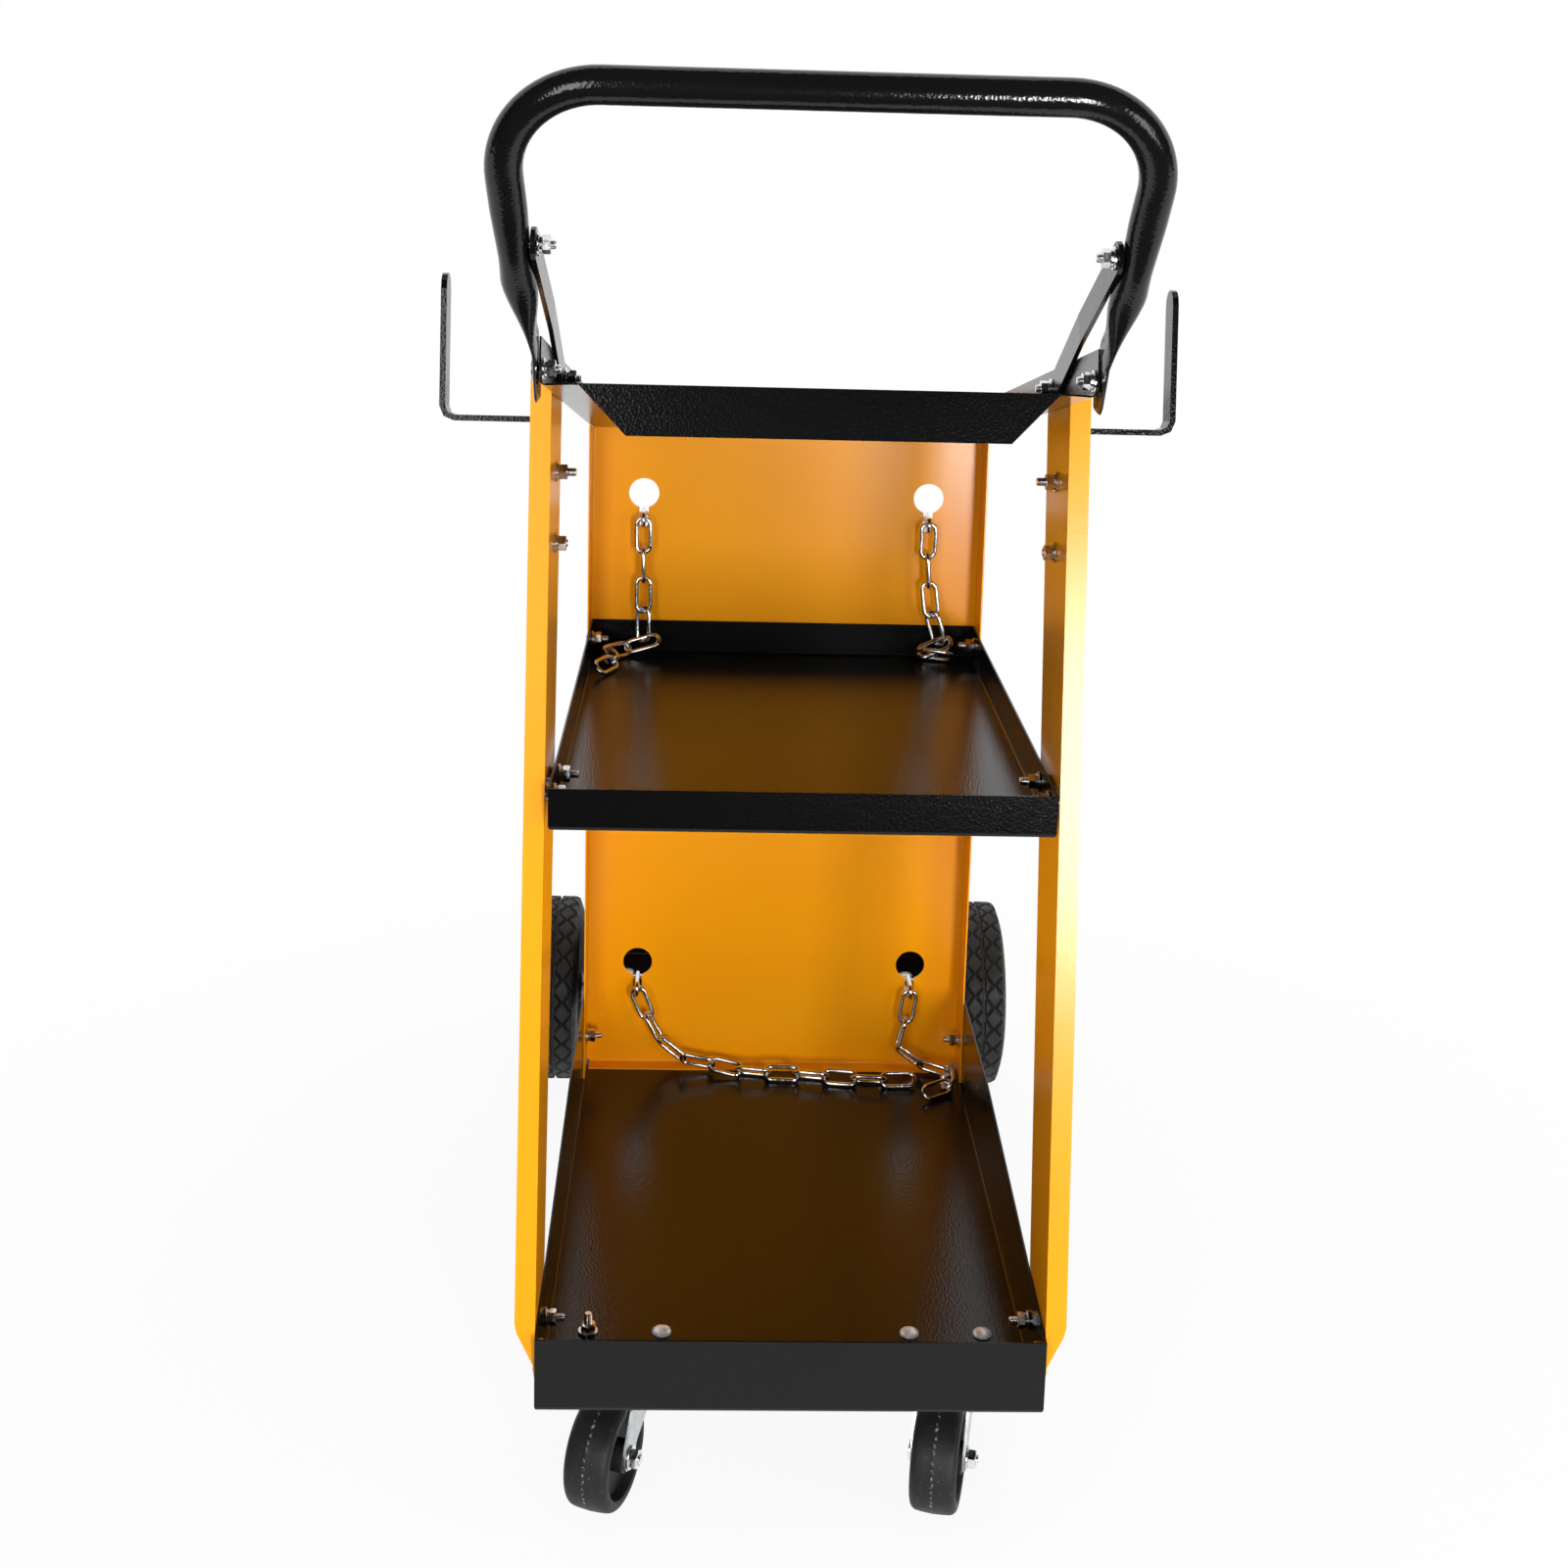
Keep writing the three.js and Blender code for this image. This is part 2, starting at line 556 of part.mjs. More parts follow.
// Skin over rings of points, closed by flat ends
function loft(rings) {
  const count = rings[0].length;
  const positions = rings.flat().flatMap((point) => point.toArray());
  const faces = [];
  for (let ring = 0; ring + 1 < rings.length; ring += 1) {
    for (let side = 0; side < count; side += 1) {
      const a = ring * count + side;
      const b = ring * count + ((side + 1) % count);
      faces.push(a, b, a + count, b, b + count, a + count);
    }
  }
  const end = (rings.length - 1) * count;
  for (let side = 1; side + 1 < count; side += 1) {
    faces.push(0, side + 1, side, end, end + side, end + side + 1);
  }
  const geometry = new THREE.BufferGeometry();
  geometry.setAttribute('position', new THREE.Float32BufferAttribute(positions, 3));
  geometry.setIndex(faces);
  return geometry;
}

// How far a leg of the handle stands out from the cart's middle
function legOffset(distance) {
  if (distance <= FLAT_LENGTH) return FLAT_MIDDLE;
  if (distance < ROUND_START) {
    return FLAT_MIDDLE + (LEG_STEP * (distance - FLAT_LENGTH)) / (ROUND_START - FLAT_LENGTH);
  }
  const share = (distance - ROUND_START) / (HANDLE_REACH - ROUND_START);
  return FLAT_MIDDLE + LEG_STEP + HANDLE_SPLAY * share;
}

// Centre line of the handle's right half in its own plane: [across, along the lean]
function handleLine() {
  const splay = Math.atan2(HANDLE_SPLAY, HANDLE_REACH - ROUND_START);
  const turn = Math.PI / 2 + splay;
  const tangent = HANDLE_BEND * Math.tan(turn / 2);
  const centre = [legOffset(HANDLE_REACH) - tangent, HANDLE_REACH - HANDLE_BEND];
  const stations = [
    -HANDLE_TAIL, FLAT_LENGTH, (FLAT_LENGTH + ROUND_START) / 2, ROUND_START, STRUT_REACH,
    STRUT_REACH + PINCH_LENGTH / 2,
  ];
  const line = stations.map((distance) => (
    { place: [legOffset(distance), distance], angle: distance > FLAT_LENGTH ? splay : 0, distance }));
  const steps = 2 * ARC_STEPS + 2;
  for (let step = 0; step <= steps; step += 1) {
    const angle = splay - (turn * step) / steps;
    line.push({
      place: [centre[0] + HANDLE_BEND * Math.cos(angle), centre[1] - HANDLE_BEND * Math.sin(angle)],
      angle,
      distance: HANDLE_REACH,
    });
  }
  return line;
}

// Half sizes of the tube's section: across the plane of the handle's leg, and square to it
function handleSection(distance) {
  const flat = [FLAT_THICKNESS / 2, FLAT_HALF_WIDTH];
  const pinched = [TUBE_RADIUS - LEG_PINCH, TUBE_RADIUS + LEG_PINCH];
  if (distance <= FLAT_LENGTH) return flat;
  if (distance < ROUND_START) return flat.map((size, axis) => (size + pinched[axis]) / 2);
  return distance <= STRUT_REACH ? pinched : [TUBE_RADIUS, TUBE_RADIUS];
}

function makeHandle() {
  const half = handleLine();
  const mirrored = half.map(({ place, angle, distance }) => (
    { place: [-place[0], place[1]], angle: Math.PI - angle, distance })).reverse();
  const rings = [...half, ...mirrored].map(({ place, angle, distance }) => {
    const [thin, wide] = handleSection(distance);
    const inPlane = [Math.cos(angle), -Math.sin(angle)];
    const ring = [];
    for (let side = 0; side < TUBE_SIDES; side += 1) {
      const turn = (2 * Math.PI * side) / TUBE_SIDES;
      const across = thin * Math.cos(turn);
      const square = wide * Math.sin(turn);
      const along = place[1] + across * inPlane[1];
      ring.push(new THREE.Vector3(
        place[0] + across * inPlane[0],
        HANDLE_SCREW[0] + along * LEAN_DIRECTION[0] + square * LEAN_DIRECTION[1],
        HANDLE_SCREW[1] + along * LEAN_DIRECTION[1] - square * LEAN_DIRECTION[0],
      ));
    }
    return ring;
  });
    const axis = legOffset(STRUT_REACH);
  const studHole = rodX(SCREW_HOLE, -axis, axis, ...STRUT_UPPER_SCREW, SMALL_SIDES);
  return cut(loft(rings), sideHole(HANDLE_SCREW), studHole);
}

// How far a strut's upper end stands outside its lower one, to lie against the handle
function strutSpread() {
  return legOffset(STRUT_REACH) - TUBE_RADIUS + LEG_PINCH - 4 * FIT - STRUT_OUTSIDE;
}

// Right-hand strut: flat against the tray's wall at its lower end, bent out to the handle past the wall
function makeStrut() {
  const outline = linkOutline(STRUT_SCREW, STRUT_UPPER_SCREW, STRUT_HALF_WIDTH);
  const bar = alongX(outline, STRUT_INSIDE, STRUT_OUTSIDE);
  const run = new THREE.Vector2(...STRUT_UPPER_SCREW).sub(new THREE.Vector2(...STRUT_SCREW));
  const bend = new THREE.Vector2(...STRUT_SCREW).addScaledVector(run, STRUT_BEND_SHARE);
  const aside = new THREE.Vector2(-run.y, run.x);
  const past = (step) => {
    const start = bend.clone().addScaledVector(run, step / run.length());
    const corners = [[-1, 0], [-1, 1], [1, 1], [1, 0]];
    return alongX(corners.map(([side, far]) => (
      start.clone().addScaledVector(aside, side).addScaledVector(run, far))), 0, TRAY_WIDTH);
  };
  const rate = strutSpread() / ((1 - STRUT_BEND_SHARE) * run.lengthSq());
  const upper = common(bar, past(0));
  upper.applyMatrix4(new THREE.Matrix4().makeShear(0, 0, rate * run.x, 0, rate * run.y, 0));
  upper.translate(-rate * run.dot(bend), 0, 0);
  return cut(join(cut(bar, past(FIT)), upper), sideHole(STRUT_SCREW), sideHole(STRUT_UPPER_SCREW));
}

// Right-hand hook about its upper screw, with X from the outside of the upright
function makeHook() {
  const middle = FIT + HOOK_THICKNESS / 2;
  const line = [
    [middle, -HOOK_TAIL], [middle, HOOK_RISE], [HOOK_REACH, HOOK_RISE], [HOOK_REACH, HOOK_RISE + HOOK_TURN_UP],
  ];
  const bar = alongY(bentStrip(line, HOOK_THICKNESS, HOOK_BEND), -HOOK_WIDTH / 2, HOOK_WIDTH / 2);
  const half = HOOK_WIDTH / 2;
  const roundEnds = linkOutline([0, half - HOOK_TAIL], [0, HOOK_RISE + HOOK_TURN_UP - half], half);
  const holes = [0, -HOOK_SCREW_PITCH].map((z) => rodX(SCREW_HOLE, -HOOK_REACH, HOOK_REACH / 2, 0, z));
  return cut(common(bar, alongX(roundEnds, -HOOK_REACH, 2 * HOOK_REACH)), ...holes);
}

// Screw along X: its nut faces -X on the plane at 0, and its head +X on the plane at grip
function makeScrew(grip, { spacer, headHeight = HEAD_HEIGHT }) {
  const washer = -FIT - WASHER_HEIGHT;
  const spring = washer - SPRING_WASHER_HEIGHT;
  const nut = spring - NUT_HEIGHT;
  const head = grip + FIT;
  const pieces = [
    rodX(SCREW_RADIUS, nut - SCREW_TAIL, headHeight > 0 ? head + headHeight / 2 : grip, 0, 0, SCREW_SIDES),
    rodX(WASHER_RADIUS, washer, -FIT, 0, 0),
    rodX(SPRING_WASHER_RADIUS, spring, washer, 0, 0, SCREW_SIDES),
    rodX(HEX_RADIUS, nut, spring, 0, 0, SCREW_SIDES),
  ];
  if (headHeight > 0) {
    pieces.push(turnedX([
      [0, head], [HEAD_RADIUS, head], [HEAD_RADIUS * 0.7, head + headHeight * 0.8], [0, head + headHeight],
    ], SMALL_SIDES));
  }
  if (spacer) pieces.push(rodX(SPRING_WASHER_RADIUS, spacer[0], spacer[1], 0, 0, SCREW_SIDES));
  return join(...pieces);
}

function addScrews(name, [y, z], inside, outside, options = {}) {
  SIDES.forEach(([side, sign]) => {
    const screw = add(`${side}_${name}_screw`, makeScrew(outside - inside, options), 'zinc');
    screw.position.set(sign * inside, y, z);
    screw.rotation.z = sign > 0 ? 0 : Math.PI;
  });
}

// Bolt along Z with a round head, the underside of which is at 0, and a nut below the grip
function makeDomeBolt(grip, tail) {
  const nutTop = -grip - FIT;
  const head = turnedZ([
    [0, FIT], [DOME_RADIUS, FIT], [DOME_RADIUS * 0.86, FIT + DOME_HEIGHT * 0.6],
    [DOME_RADIUS * 0.45, FIT + DOME_HEIGHT * 0.93], [0, FIT + DOME_HEIGHT],
  ], SMALL_SIDES + 2);
  return join(
    head,
    rodZ(SCREW_RADIUS, nutTop - WASHER_HEIGHT - NUT_HEIGHT - tail, FIT + DOME_HEIGHT / 2, 0, 0, SCREW_SIDES),
    rodZ(WASHER_RADIUS, nutTop - WASHER_HEIGHT, nutTop, 0, 0),
    rodZ(HEX_RADIUS, nutTop - WASHER_HEIGHT - NUT_HEIGHT, nutTop - WASHER_HEIGHT, 0, 0, SCREW_SIDES),
  );
}

// Wheel bodies about their own axis, which lies along X
function makeTyre() {
  const half = WHEEL_WIDTH / 2;
  const shoulder = WHEEL_RADIUS - 9;
  const groove = 1.6;
  return turnedX([
    [RIM_RADIUS + FIT, 6 - half], [RIM_RADIUS + 8, -half], [shoulder, 1 - half], [WHEEL_RADIUS - 3, 5 - half],
    [WHEEL_RADIUS, 9 - half], [WHEEL_RADIUS, -groove], [WHEEL_RADIUS - 2.5, 0], [WHEEL_RADIUS, groove],
    [WHEEL_RADIUS, half - 9], [WHEEL_RADIUS - 3, half - 5], [shoulder, half - 1], [RIM_RADIUS + 8, half],
    [RIM_RADIUS + FIT, half - 6], [RIM_RADIUS + FIT, 6 - half],
  ], WHEEL_SIDES);
}

function makeHub() {
  const half = WHEEL_WIDTH / 2;
  const bore = AXLE_RADIUS + FIT;
  const rim = half - 6;
  const web = WEB_THICKNESS / 2;
  const dish = RIM_RADIUS - 5;
  const body = turnedX([
    [bore, -half], [HUB_RADIUS, -half], [HUB_RADIUS, -web], [dish, -web], [dish, -rim], [RIM_RADIUS, -rim],
    [RIM_RADIUS, rim], [dish, rim], [dish, web], [HUB_RADIUS, web], [HUB_RADIUS, half],
    [bore, half], [bore, -half],
  ], WHEEL_SIDES);
  const ribs = [];
  const ribCount = 6;
  for (let rib = 0; rib < ribCount; rib += 1) {
    const box = new THREE.BoxGeometry(2 * rim, WEB_THICKNESS, dish - HUB_RADIUS + 4);
    ribs.push(box.translate(0, 0, (dish + HUB_RADIUS) / 2).rotateX((2 * Math.PI * rib) / ribCount));
  }
  return join(body, ...ribs);
}

function makeAxle() {
  const end = HUB_OUTER + FIT + AXLE_CAP_DEPTH;
  const collar = [1, -1].map((sign) => {
    const inside = TRAY_WIDTH / 2;
    const middle = (sign * (inside + HUB_INNER - FIT)) / 2;
    const length = HUB_INNER - FIT - inside;
    return rodX(COLLAR_RADIUS, middle - length / 2, middle + length / 2, 0, 0, ROUND_SIDES);
  });
  return join(rodX(AXLE_RADIUS, -end, end, 0, 0, ROUND_SIDES), ...collar);
}

function makeCap() {
  const bore = AXLE_RADIUS + FIT;
  const depth = AXLE_CAP_DEPTH + FIT;
  return turnedX([
    [0, depth], [bore, depth], [bore, 0], [CAP_RADIUS, 0], [CAP_RADIUS, 2], [bore + 2, 3],
    [bore + 1.5, CAP_LENGTH - 1.5],
    [bore - 2, CAP_LENGTH], [0, CAP_LENGTH],
  ], ROUND_SIDES);
}

// Saddle under the base tray that carries the axle, about the axle
function makeSaddle() {
  const roof = BASE_FLOOR - FIT - WHEEL_RADIUS - SADDLE_THICKNESS / 2;
  const wall = AXLE_RADIUS + FIT + SADDLE_THICKNESS / 2;
  const line = [
    [-wall - SADDLE_FLANGE, roof], [-wall, roof], [-wall, -wall],
    [wall, -wall], [wall, roof], [wall + SADDLE_FLANGE, roof],
  ];
  return alongX(bentStrip(line, SADDLE_THICKNESS, 1), -SADDLE_WIDTH / 2, SADDLE_WIDTH / 2);
}

// Caster pieces about the swivel axis at ground level, with the wheel trailing to -Y
function makeCasterPlate() {
  const [across, along] = CASTER_PLATE.map((size) => size / 2);
  const corner = 6;
  const plate = alongZ(rounded([
    [across, along, corner], [-across, along, corner], [-across, -along, corner], [across, -along, corner],
  ]), CASTER_HEIGHT - CASTER_PLATE_THICKNESS, CASTER_HEIGHT);
  const holes = [];
  [1, -1].forEach((signX) => [1, -1].forEach((signY) => {
    const x = (signX * CASTER_BOLT_PITCH[0]) / 2;
    const y = (signY * CASTER_BOLT_PITCH[1]) / 2;
    holes.push(rodZ(SCREW_HOLE, CASTER_HEIGHT - 3 * CASTER_PLATE_THICKNESS, CASTER_HEIGHT + FIT, x, y));
  }));
  const pinHole = rodZ(KING_PIN_RADIUS + FIT, 0, 2 * CASTER_HEIGHT, 0, 0, SMALL_SIDES + 2);
  return cut(plate, ...holes, pinHole);
}

const FORK_ROOF = CASTER_HEIGHT - CASTER_PLATE_THICKNESS - FIT - RACE_HEIGHT;

function makeKingPin() {
  const low = FORK_ROOF - FORK_THICKNESS - FIT;
  const head = KING_PIN_RADIUS + 3;
  return turnedZ([
    [0, low - 3], [head - 1, low - 3], [head, low - 1], [head, low], [KING_PIN_RADIUS, low],
    [KING_PIN_RADIUS, CASTER_HEIGHT - FIT], [0, CASTER_HEIGHT - FIT],
  ], SMALL_SIDES + 2);
}

function makeFork() {
  const half = CASTER_WHEEL_WIDTH / 2 + FORK_GAP + FORK_THICKNESS / 2;
  const eye = CASTER_WHEEL_RADIUS;
  const roof = FORK_ROOF - FORK_THICKNESS / 2;
  const line = [[-half, eye - FORK_EYE], [-half, roof], [half, roof], [half, eye - FORK_EYE]];
  const channel = bentStrip(line, FORK_THICKNESS, FORK_BEND);
  const bridge = alongY(channel, -FORK_TOP_HALF - CASTER_TRAIL, FORK_TOP_HALF);
  const side = rounded([
    [FORK_TOP_HALF * 0.8, FORK_ROOF, 0], [-FORK_TOP_HALF, FORK_ROOF, 0],
    [-FORK_TOP_HALF, FORK_ROOF - 14, 6],
    [-CASTER_TRAIL - FORK_EYE, eye + 6, 6], [-CASTER_TRAIL - FORK_EYE, eye - FORK_EYE, FORK_EYE * 0.9],
    [-CASTER_TRAIL + FORK_EYE, eye - FORK_EYE, FORK_EYE * 0.9], [-CASTER_TRAIL + FORK_EYE + 2, eye + 4, 6],
    [FORK_TOP_HALF * 0.8, FORK_ROOF - 16, 6],
  ]);
  const yoke = common(bridge, alongX(side, -2 * half, 2 * half));
  const race = turnedZ([
    [0, FORK_ROOF - FIT], [RACE_RADIUS, FORK_ROOF - FIT], [RACE_RADIUS, FORK_ROOF + RACE_HEIGHT * 0.6],
    [RACE_RADIUS - 3, FORK_ROOF + RACE_HEIGHT], [0, FORK_ROOF + RACE_HEIGHT],
  ], ROUND_SIDES);
  const pinHole = rodZ(KING_PIN_RADIUS + FIT, 0, CASTER_HEIGHT, 0, 0, SMALL_SIDES + 2);
  const boltHole = rodX(CASTER_BOLT_RADIUS + FIT, -2 * half, 2 * half, -CASTER_TRAIL, CASTER_WHEEL_RADIUS);
  return cut(join(yoke, race), pinHole, boltHole);
}

function makeCasterWheel() {
  const half = CASTER_WHEEL_WIDTH / 2;
  const bore = CASTER_BOLT_RADIUS + FIT;
  const tread = CASTER_WHEEL_RADIUS;
  const side = [
    [bore, half + FORK_GAP / 2], [CASTER_HUB_RADIUS, half + FORK_GAP / 2], [CASTER_HUB_RADIUS, half - CASTER_DISH],
    [tread - 12, half - CASTER_DISH], [tread - 9, half - 0.5], [tread - 4, half], [tread - 0.8, half - 4.5],
  ];
  const mirrored = side.map(([radius, place]) => [radius, -place]);
  return turnedX([...mirrored, [tread, 0], ...side.reverse(), mirrored[0]], ROUND_SIDES + 4);
}

function makeCasterAxle() {
  const outside = CASTER_WHEEL_WIDTH / 2 + FORK_GAP + FORK_THICKNESS + FIT;
  return join(
    rodX(CASTER_BOLT_RADIUS, -outside - CASTER_HEAD / 2, outside + CASTER_NUT + 2, 0, 0),
    rodX(CASTER_HEX_RADIUS, outside, outside + CASTER_NUT, 0, 0, SCREW_SIDES),
    rodX(CASTER_HEX_RADIUS, -outside - CASTER_HEAD, -outside, 0, 0),
  );
}

function addCaster(side, sign) {
  const caster = new THREE.Group();
  caster.position.set(sign * CASTER_OFFSET, CASTER_Y, 0);
  cart.add(caster);
  add(`${side}_caster_plate`, makeCasterPlate(), 'zinc', caster);
  add(`${side}_caster_king_pin`, makeKingPin(), 'zinc', caster);
  const turning = new THREE.Group();
  turning.rotation.z = -THREE.MathUtils.degToRad(CASTER_TURN[side]);
  caster.add(turning);
  add(`${side}_caster_fork`, makeFork(), 'zinc', turning);
  const hub = new THREE.Group();
  hub.position.set(0, -CASTER_TRAIL, CASTER_WHEEL_RADIUS);
  turning.add(hub);
  add(`${side}_caster_wheel`, makeCasterWheel(), 'rubber', hub);
  add(`${side}_caster_axle_bolt`, makeCasterAxle(), 'zinc', hub);
}

function addRearWheel(side, sign) {
  const wheel = new THREE.Group();
  wheel.position.set(sign * WHEEL_OFFSET, AXLE_Y, WHEEL_RADIUS);
  cart.add(wheel);
  add(`${side}_rear_tyre`, makeTyre(), 'rubber', wheel);
  add(`${side}_rear_hub`, makeHub(), 'plastic', wheel);
  const cap = add(`${side}_axle_cap`, makeCap(), 'zinc');
  cap.position.set(sign * (HUB_OUTER + FIT), AXLE_Y, WHEEL_RADIUS);
  cap.rotation.z = sign > 0 ? 0 : Math.PI;
  const saddle = add(`${side}_axle_saddle`, makeSaddle(), 'black');
  saddle.position.set(sign * SADDLE_OFFSET, AXLE_Y, WHEEL_RADIUS);
}

// One chain link about its middle: long way along X, flat in the XY plane
function makeLink() {
  const end = (LINK_WIDTH - 2 * WIRE_RADIUS) / 2;
  const straight = (LINK_PITCH - LINK_OVERLAP) / 2 + WIRE_RADIUS - end;
  const rings = [];
  for (let step = 0; step < 2 * LINK_TURNS; step += 1) {
    const far = step < LINK_TURNS ? 1 : -1;
    const angle = (Math.PI * (step % LINK_TURNS)) / (LINK_TURNS - 1) - (far * Math.PI) / 2;
    rings.push({ x: far * straight + end * Math.cos(angle), y: end * Math.sin(angle), angle });
  }
  const positions = [];
  const faces = [];
  rings.forEach(({ x, y, angle }, ring) => {
    for (let side = 0; side < WIRE_SIDES; side += 1) {
      const turn = (2 * Math.PI * side) / WIRE_SIDES;
      const out = WIRE_RADIUS * Math.cos(turn);
      positions.push(x + out * Math.cos(angle), y + out * Math.sin(angle), WIRE_RADIUS * Math.sin(turn));
      const a = ring * WIRE_SIDES + side;
      const b = ring * WIRE_SIDES + ((side + 1) % WIRE_SIDES);
      const next = (((ring + 1) % rings.length) - ring) * WIRE_SIDES;
      faces.push(a, a + next, b, b, a + next, b + next);
    }
  });
  const geometry = new THREE.BufferGeometry();
  geometry.setAttribute('position', new THREE.Float32BufferAttribute(positions, 3));
  geometry.setIndex(faces);
  return geometry;
}

// A link between two joints; its flat side faces along the given direction
function placeLink(from, to, facing) {
  const along = to.clone().sub(from).normalize();
  const normal = facing.clone().addScaledVector(along, -facing.dot(along)).normalize();
  const across = normal.clone().cross(along);
  const place = new THREE.Matrix4().makeBasis(along, across, normal);
  place.setPosition(from.clone().add(to).multiplyScalar(0.5));
  return makeLink().applyMatrix4(place);
}

// A chain whose second link passes edge-on through a keyhole's slot; the first one holds it behind the panel.
// Each next link reaches one pitch towards its aim, an [across, along, up] place from the slot, the front of the
// first links and the height at which links lie. A fourth number twists the link by as many degrees.
// Hanging links lie flat and edge-on in turn, and links that lie down lean to the left and right in turn.
// A slack link, which has two ends of its own, lies flat with the link before it inside.
function makeChain(slotX, slotZ, rest, aims) {
  const height = slotZ - SLOT_DROP + FIT + LINK_WIDTH / 2;
  const panelMiddle = PANEL_FRONT + SHEET / 2;
  const behind = new THREE.Vector3(slotX, panelMiddle + LINK_PITCH / 2, height);
  const before = new THREE.Vector3(slotX, panelMiddle - LINK_PITCH / 2, height);
  const tail = behind.clone().setZ(height - LINK_PITCH);
  const across = new THREE.Vector3(1, 0, 0);
  const depth = new THREE.Vector3(0, 1, 0);
  const up = new THREE.Vector3(0, 0, 1);
  const placeOf = ([x, y, z]) => new THREE.Vector3(slotX + x, before.y + y, rest + z);
  const onward = (from, aim) => placeOf(aim).sub(from).setLength(LINK_PITCH).add(from);
  const links = [placeLink(tail, behind, depth), placeLink(behind, before, across)];
  let last = before;
  aims.forEach((aim, index) => {
    if (aim.length === 2) {
      const start = placeOf(aim[0]);
      last = onward(start, aim[1]);
      links.push(placeLink(start, last, up));
      return;
    }
    const joint = onward(last, aim);
    joint.z = Math.max(joint.z, rest);
    const along = joint.clone().sub(last).normalize();
    const lying = 1 - Math.abs(along.z);
    const facing = depth.clone().multiplyScalar(1 - lying).addScaledVector(up, lying);
    facing.addScaledVector(along, -facing.dot(along)).normalize();
    const twist = THREE.MathUtils.degToRad(aim[3] ?? 0);
    const roll = (index % 2) * (Math.PI / 2) + lying * (Math.PI / 4) + twist;
    links.push(placeLink(last, joint, facing.applyAxisAngle(along, roll)));
    last = joint;
  });
  return join(...links);
}

// Trays and panel
add('base_tray', makeBaseTray(), 'black');
add('middle_tray', makeMiddleTray(), 'black');
add('top_tray', makeTopTray(), 'black');
add('back_panel', makeBackPanel(), 'yellow');

// Uprights, handle, struts and hooks
const upright = makeUpright();
const strut = makeStrut();
const hook = makeHook();
add('right_upright', upright, 'yellow');
add('left_upright', mirrorX(upright), 'yellow');
add('handle_tube', makeHandle(), 'black');
add('right_handle_strut', strut, 'black');
add('left_handle_strut', mirrorX(strut), 'black');
SIDES.forEach(([side, sign]) => {
  const placed = add(`${side}_cable_hook`, sign > 0 ? hook : mirrorX(hook), 'black');
  placed.position.set(sign * WEB_OUTSIDE, HOOK_SCREW[0], HOOK_SCREW[1]);
  placed.rotation.x = -UPRIGHT_LEAN;
});

// Wheels and casters
add('wheel_axle', makeAxle(), 'zinc').position.set(0, AXLE_Y, WHEEL_RADIUS);
SIDES.forEach(([side, sign]) => {
  addRearWheel(side, sign);
  addCaster(side, sign);
});

// Screws
const middleSpacer = [SHEET + FIT, WEB_INSIDE - MIDDLE_HALF + SHEET - FIT];
['near', 'far'].forEach((place, index) => {
  addScrews(`base_front_${place}`, BASE_FRONT_SCREWS[index], WALL_INSIDE, WEB_OUTSIDE);
  addScrews(`middle_front_${place}`, MIDDLE_FRONT_SCREWS[index], MIDDLE_HALF - SHEET, WEB_OUTSIDE, {
    spacer: middleSpacer,
  });
});
addScrews('base_rear', BASE_REAR_SCREW, PANEL_HALF - SHEET, TRAY_WIDTH / 2);
addScrews('middle_rear', MIDDLE_REAR_SCREW, MIDDLE_HALF - SHEET, PANEL_HALF);
const flatOutside = FLAT_MIDDLE + FLAT_THICKNESS / 2;
addScrews('handle', HANDLE_SCREW, WALL_INSIDE, flatOutside, { headHeight: FLAT_HEAD_HEIGHT });
addScrews('strut_lower', STRUT_SCREW, STRUT_INSIDE, WEB_OUTSIDE);
// The upper screw of a strut is a stud that ends inside the tube
const studEnd = legOffset(STRUT_REACH) - FIT;
addScrews('strut_upper', STRUT_UPPER_SCREW, STRUT_INSIDE + strutSpread(), studEnd, { headHeight: 0 });
hookScrews().forEach((place, index) => {
  addScrews(`hook_${index === 0 ? 'upper' : 'lower'}`, place, WEB_INSIDE, WEB_OUTSIDE + FIT + HOOK_THICKNESS);
});
casterBoltPlaces().filter(({ row }) => row === 'rear').forEach(({ side, place, x, y }) => {
  const grip = SHEET + FIT + CASTER_PLATE_THICKNESS;
  const nutUp = side === 'left' && place === 'outer';
  const tail = nutUp ? LONG_TAIL : SHORT_TAIL;
  const bolt = add(`${side}_caster_${place}_bolt`, makeDomeBolt(grip, tail), 'zinc');
  bolt.position.set(x, y, BASE_FLOOR + SHEET - (nutUp ? grip : 0));
  bolt.rotation.x = nutUp ? Math.PI : 0;
});

// Chains: the upper two fall into the middle tray, the lower two onto the base tray
const linkRest = FIT + WIRE_RADIUS + (LINK_WIDTH / 2 - WIRE_RADIUS) * Math.SQRT1_2;
const middleRest = MIDDLE_FLOOR + SHEET + linkRest;
const baseRest = BASE_FLOOR + SHEET + linkRest;
add('upper_left_chain', makeChain(-KEYHOLE_OFFSET, KEYHOLE_UPPER, middleRest, [
  [0.5, 0, 85.5], [1, -0.6, 59.5], [1, -1.5, 33.5], [1.5, -3.5, 7.5, -60], [[13, -7.4, 8], [-13, -6.4, 0]],
  [-29, -26, 0], [-22, -50, 0], [-32, -73, 0],
]), 'zinc');
add('upper_right_chain', makeChain(KEYHOLE_OFFSET, KEYHOLE_UPPER, middleRest, [
  [-0.5, 0, 85.5], [1.5, -0.6, 59.5], [5, -1.5, 33.5], [13, -3, 9, -60], [[20, -7.5, 11], [-6, -8, 0]],
  [18, -16, 0],
]), 'zinc');
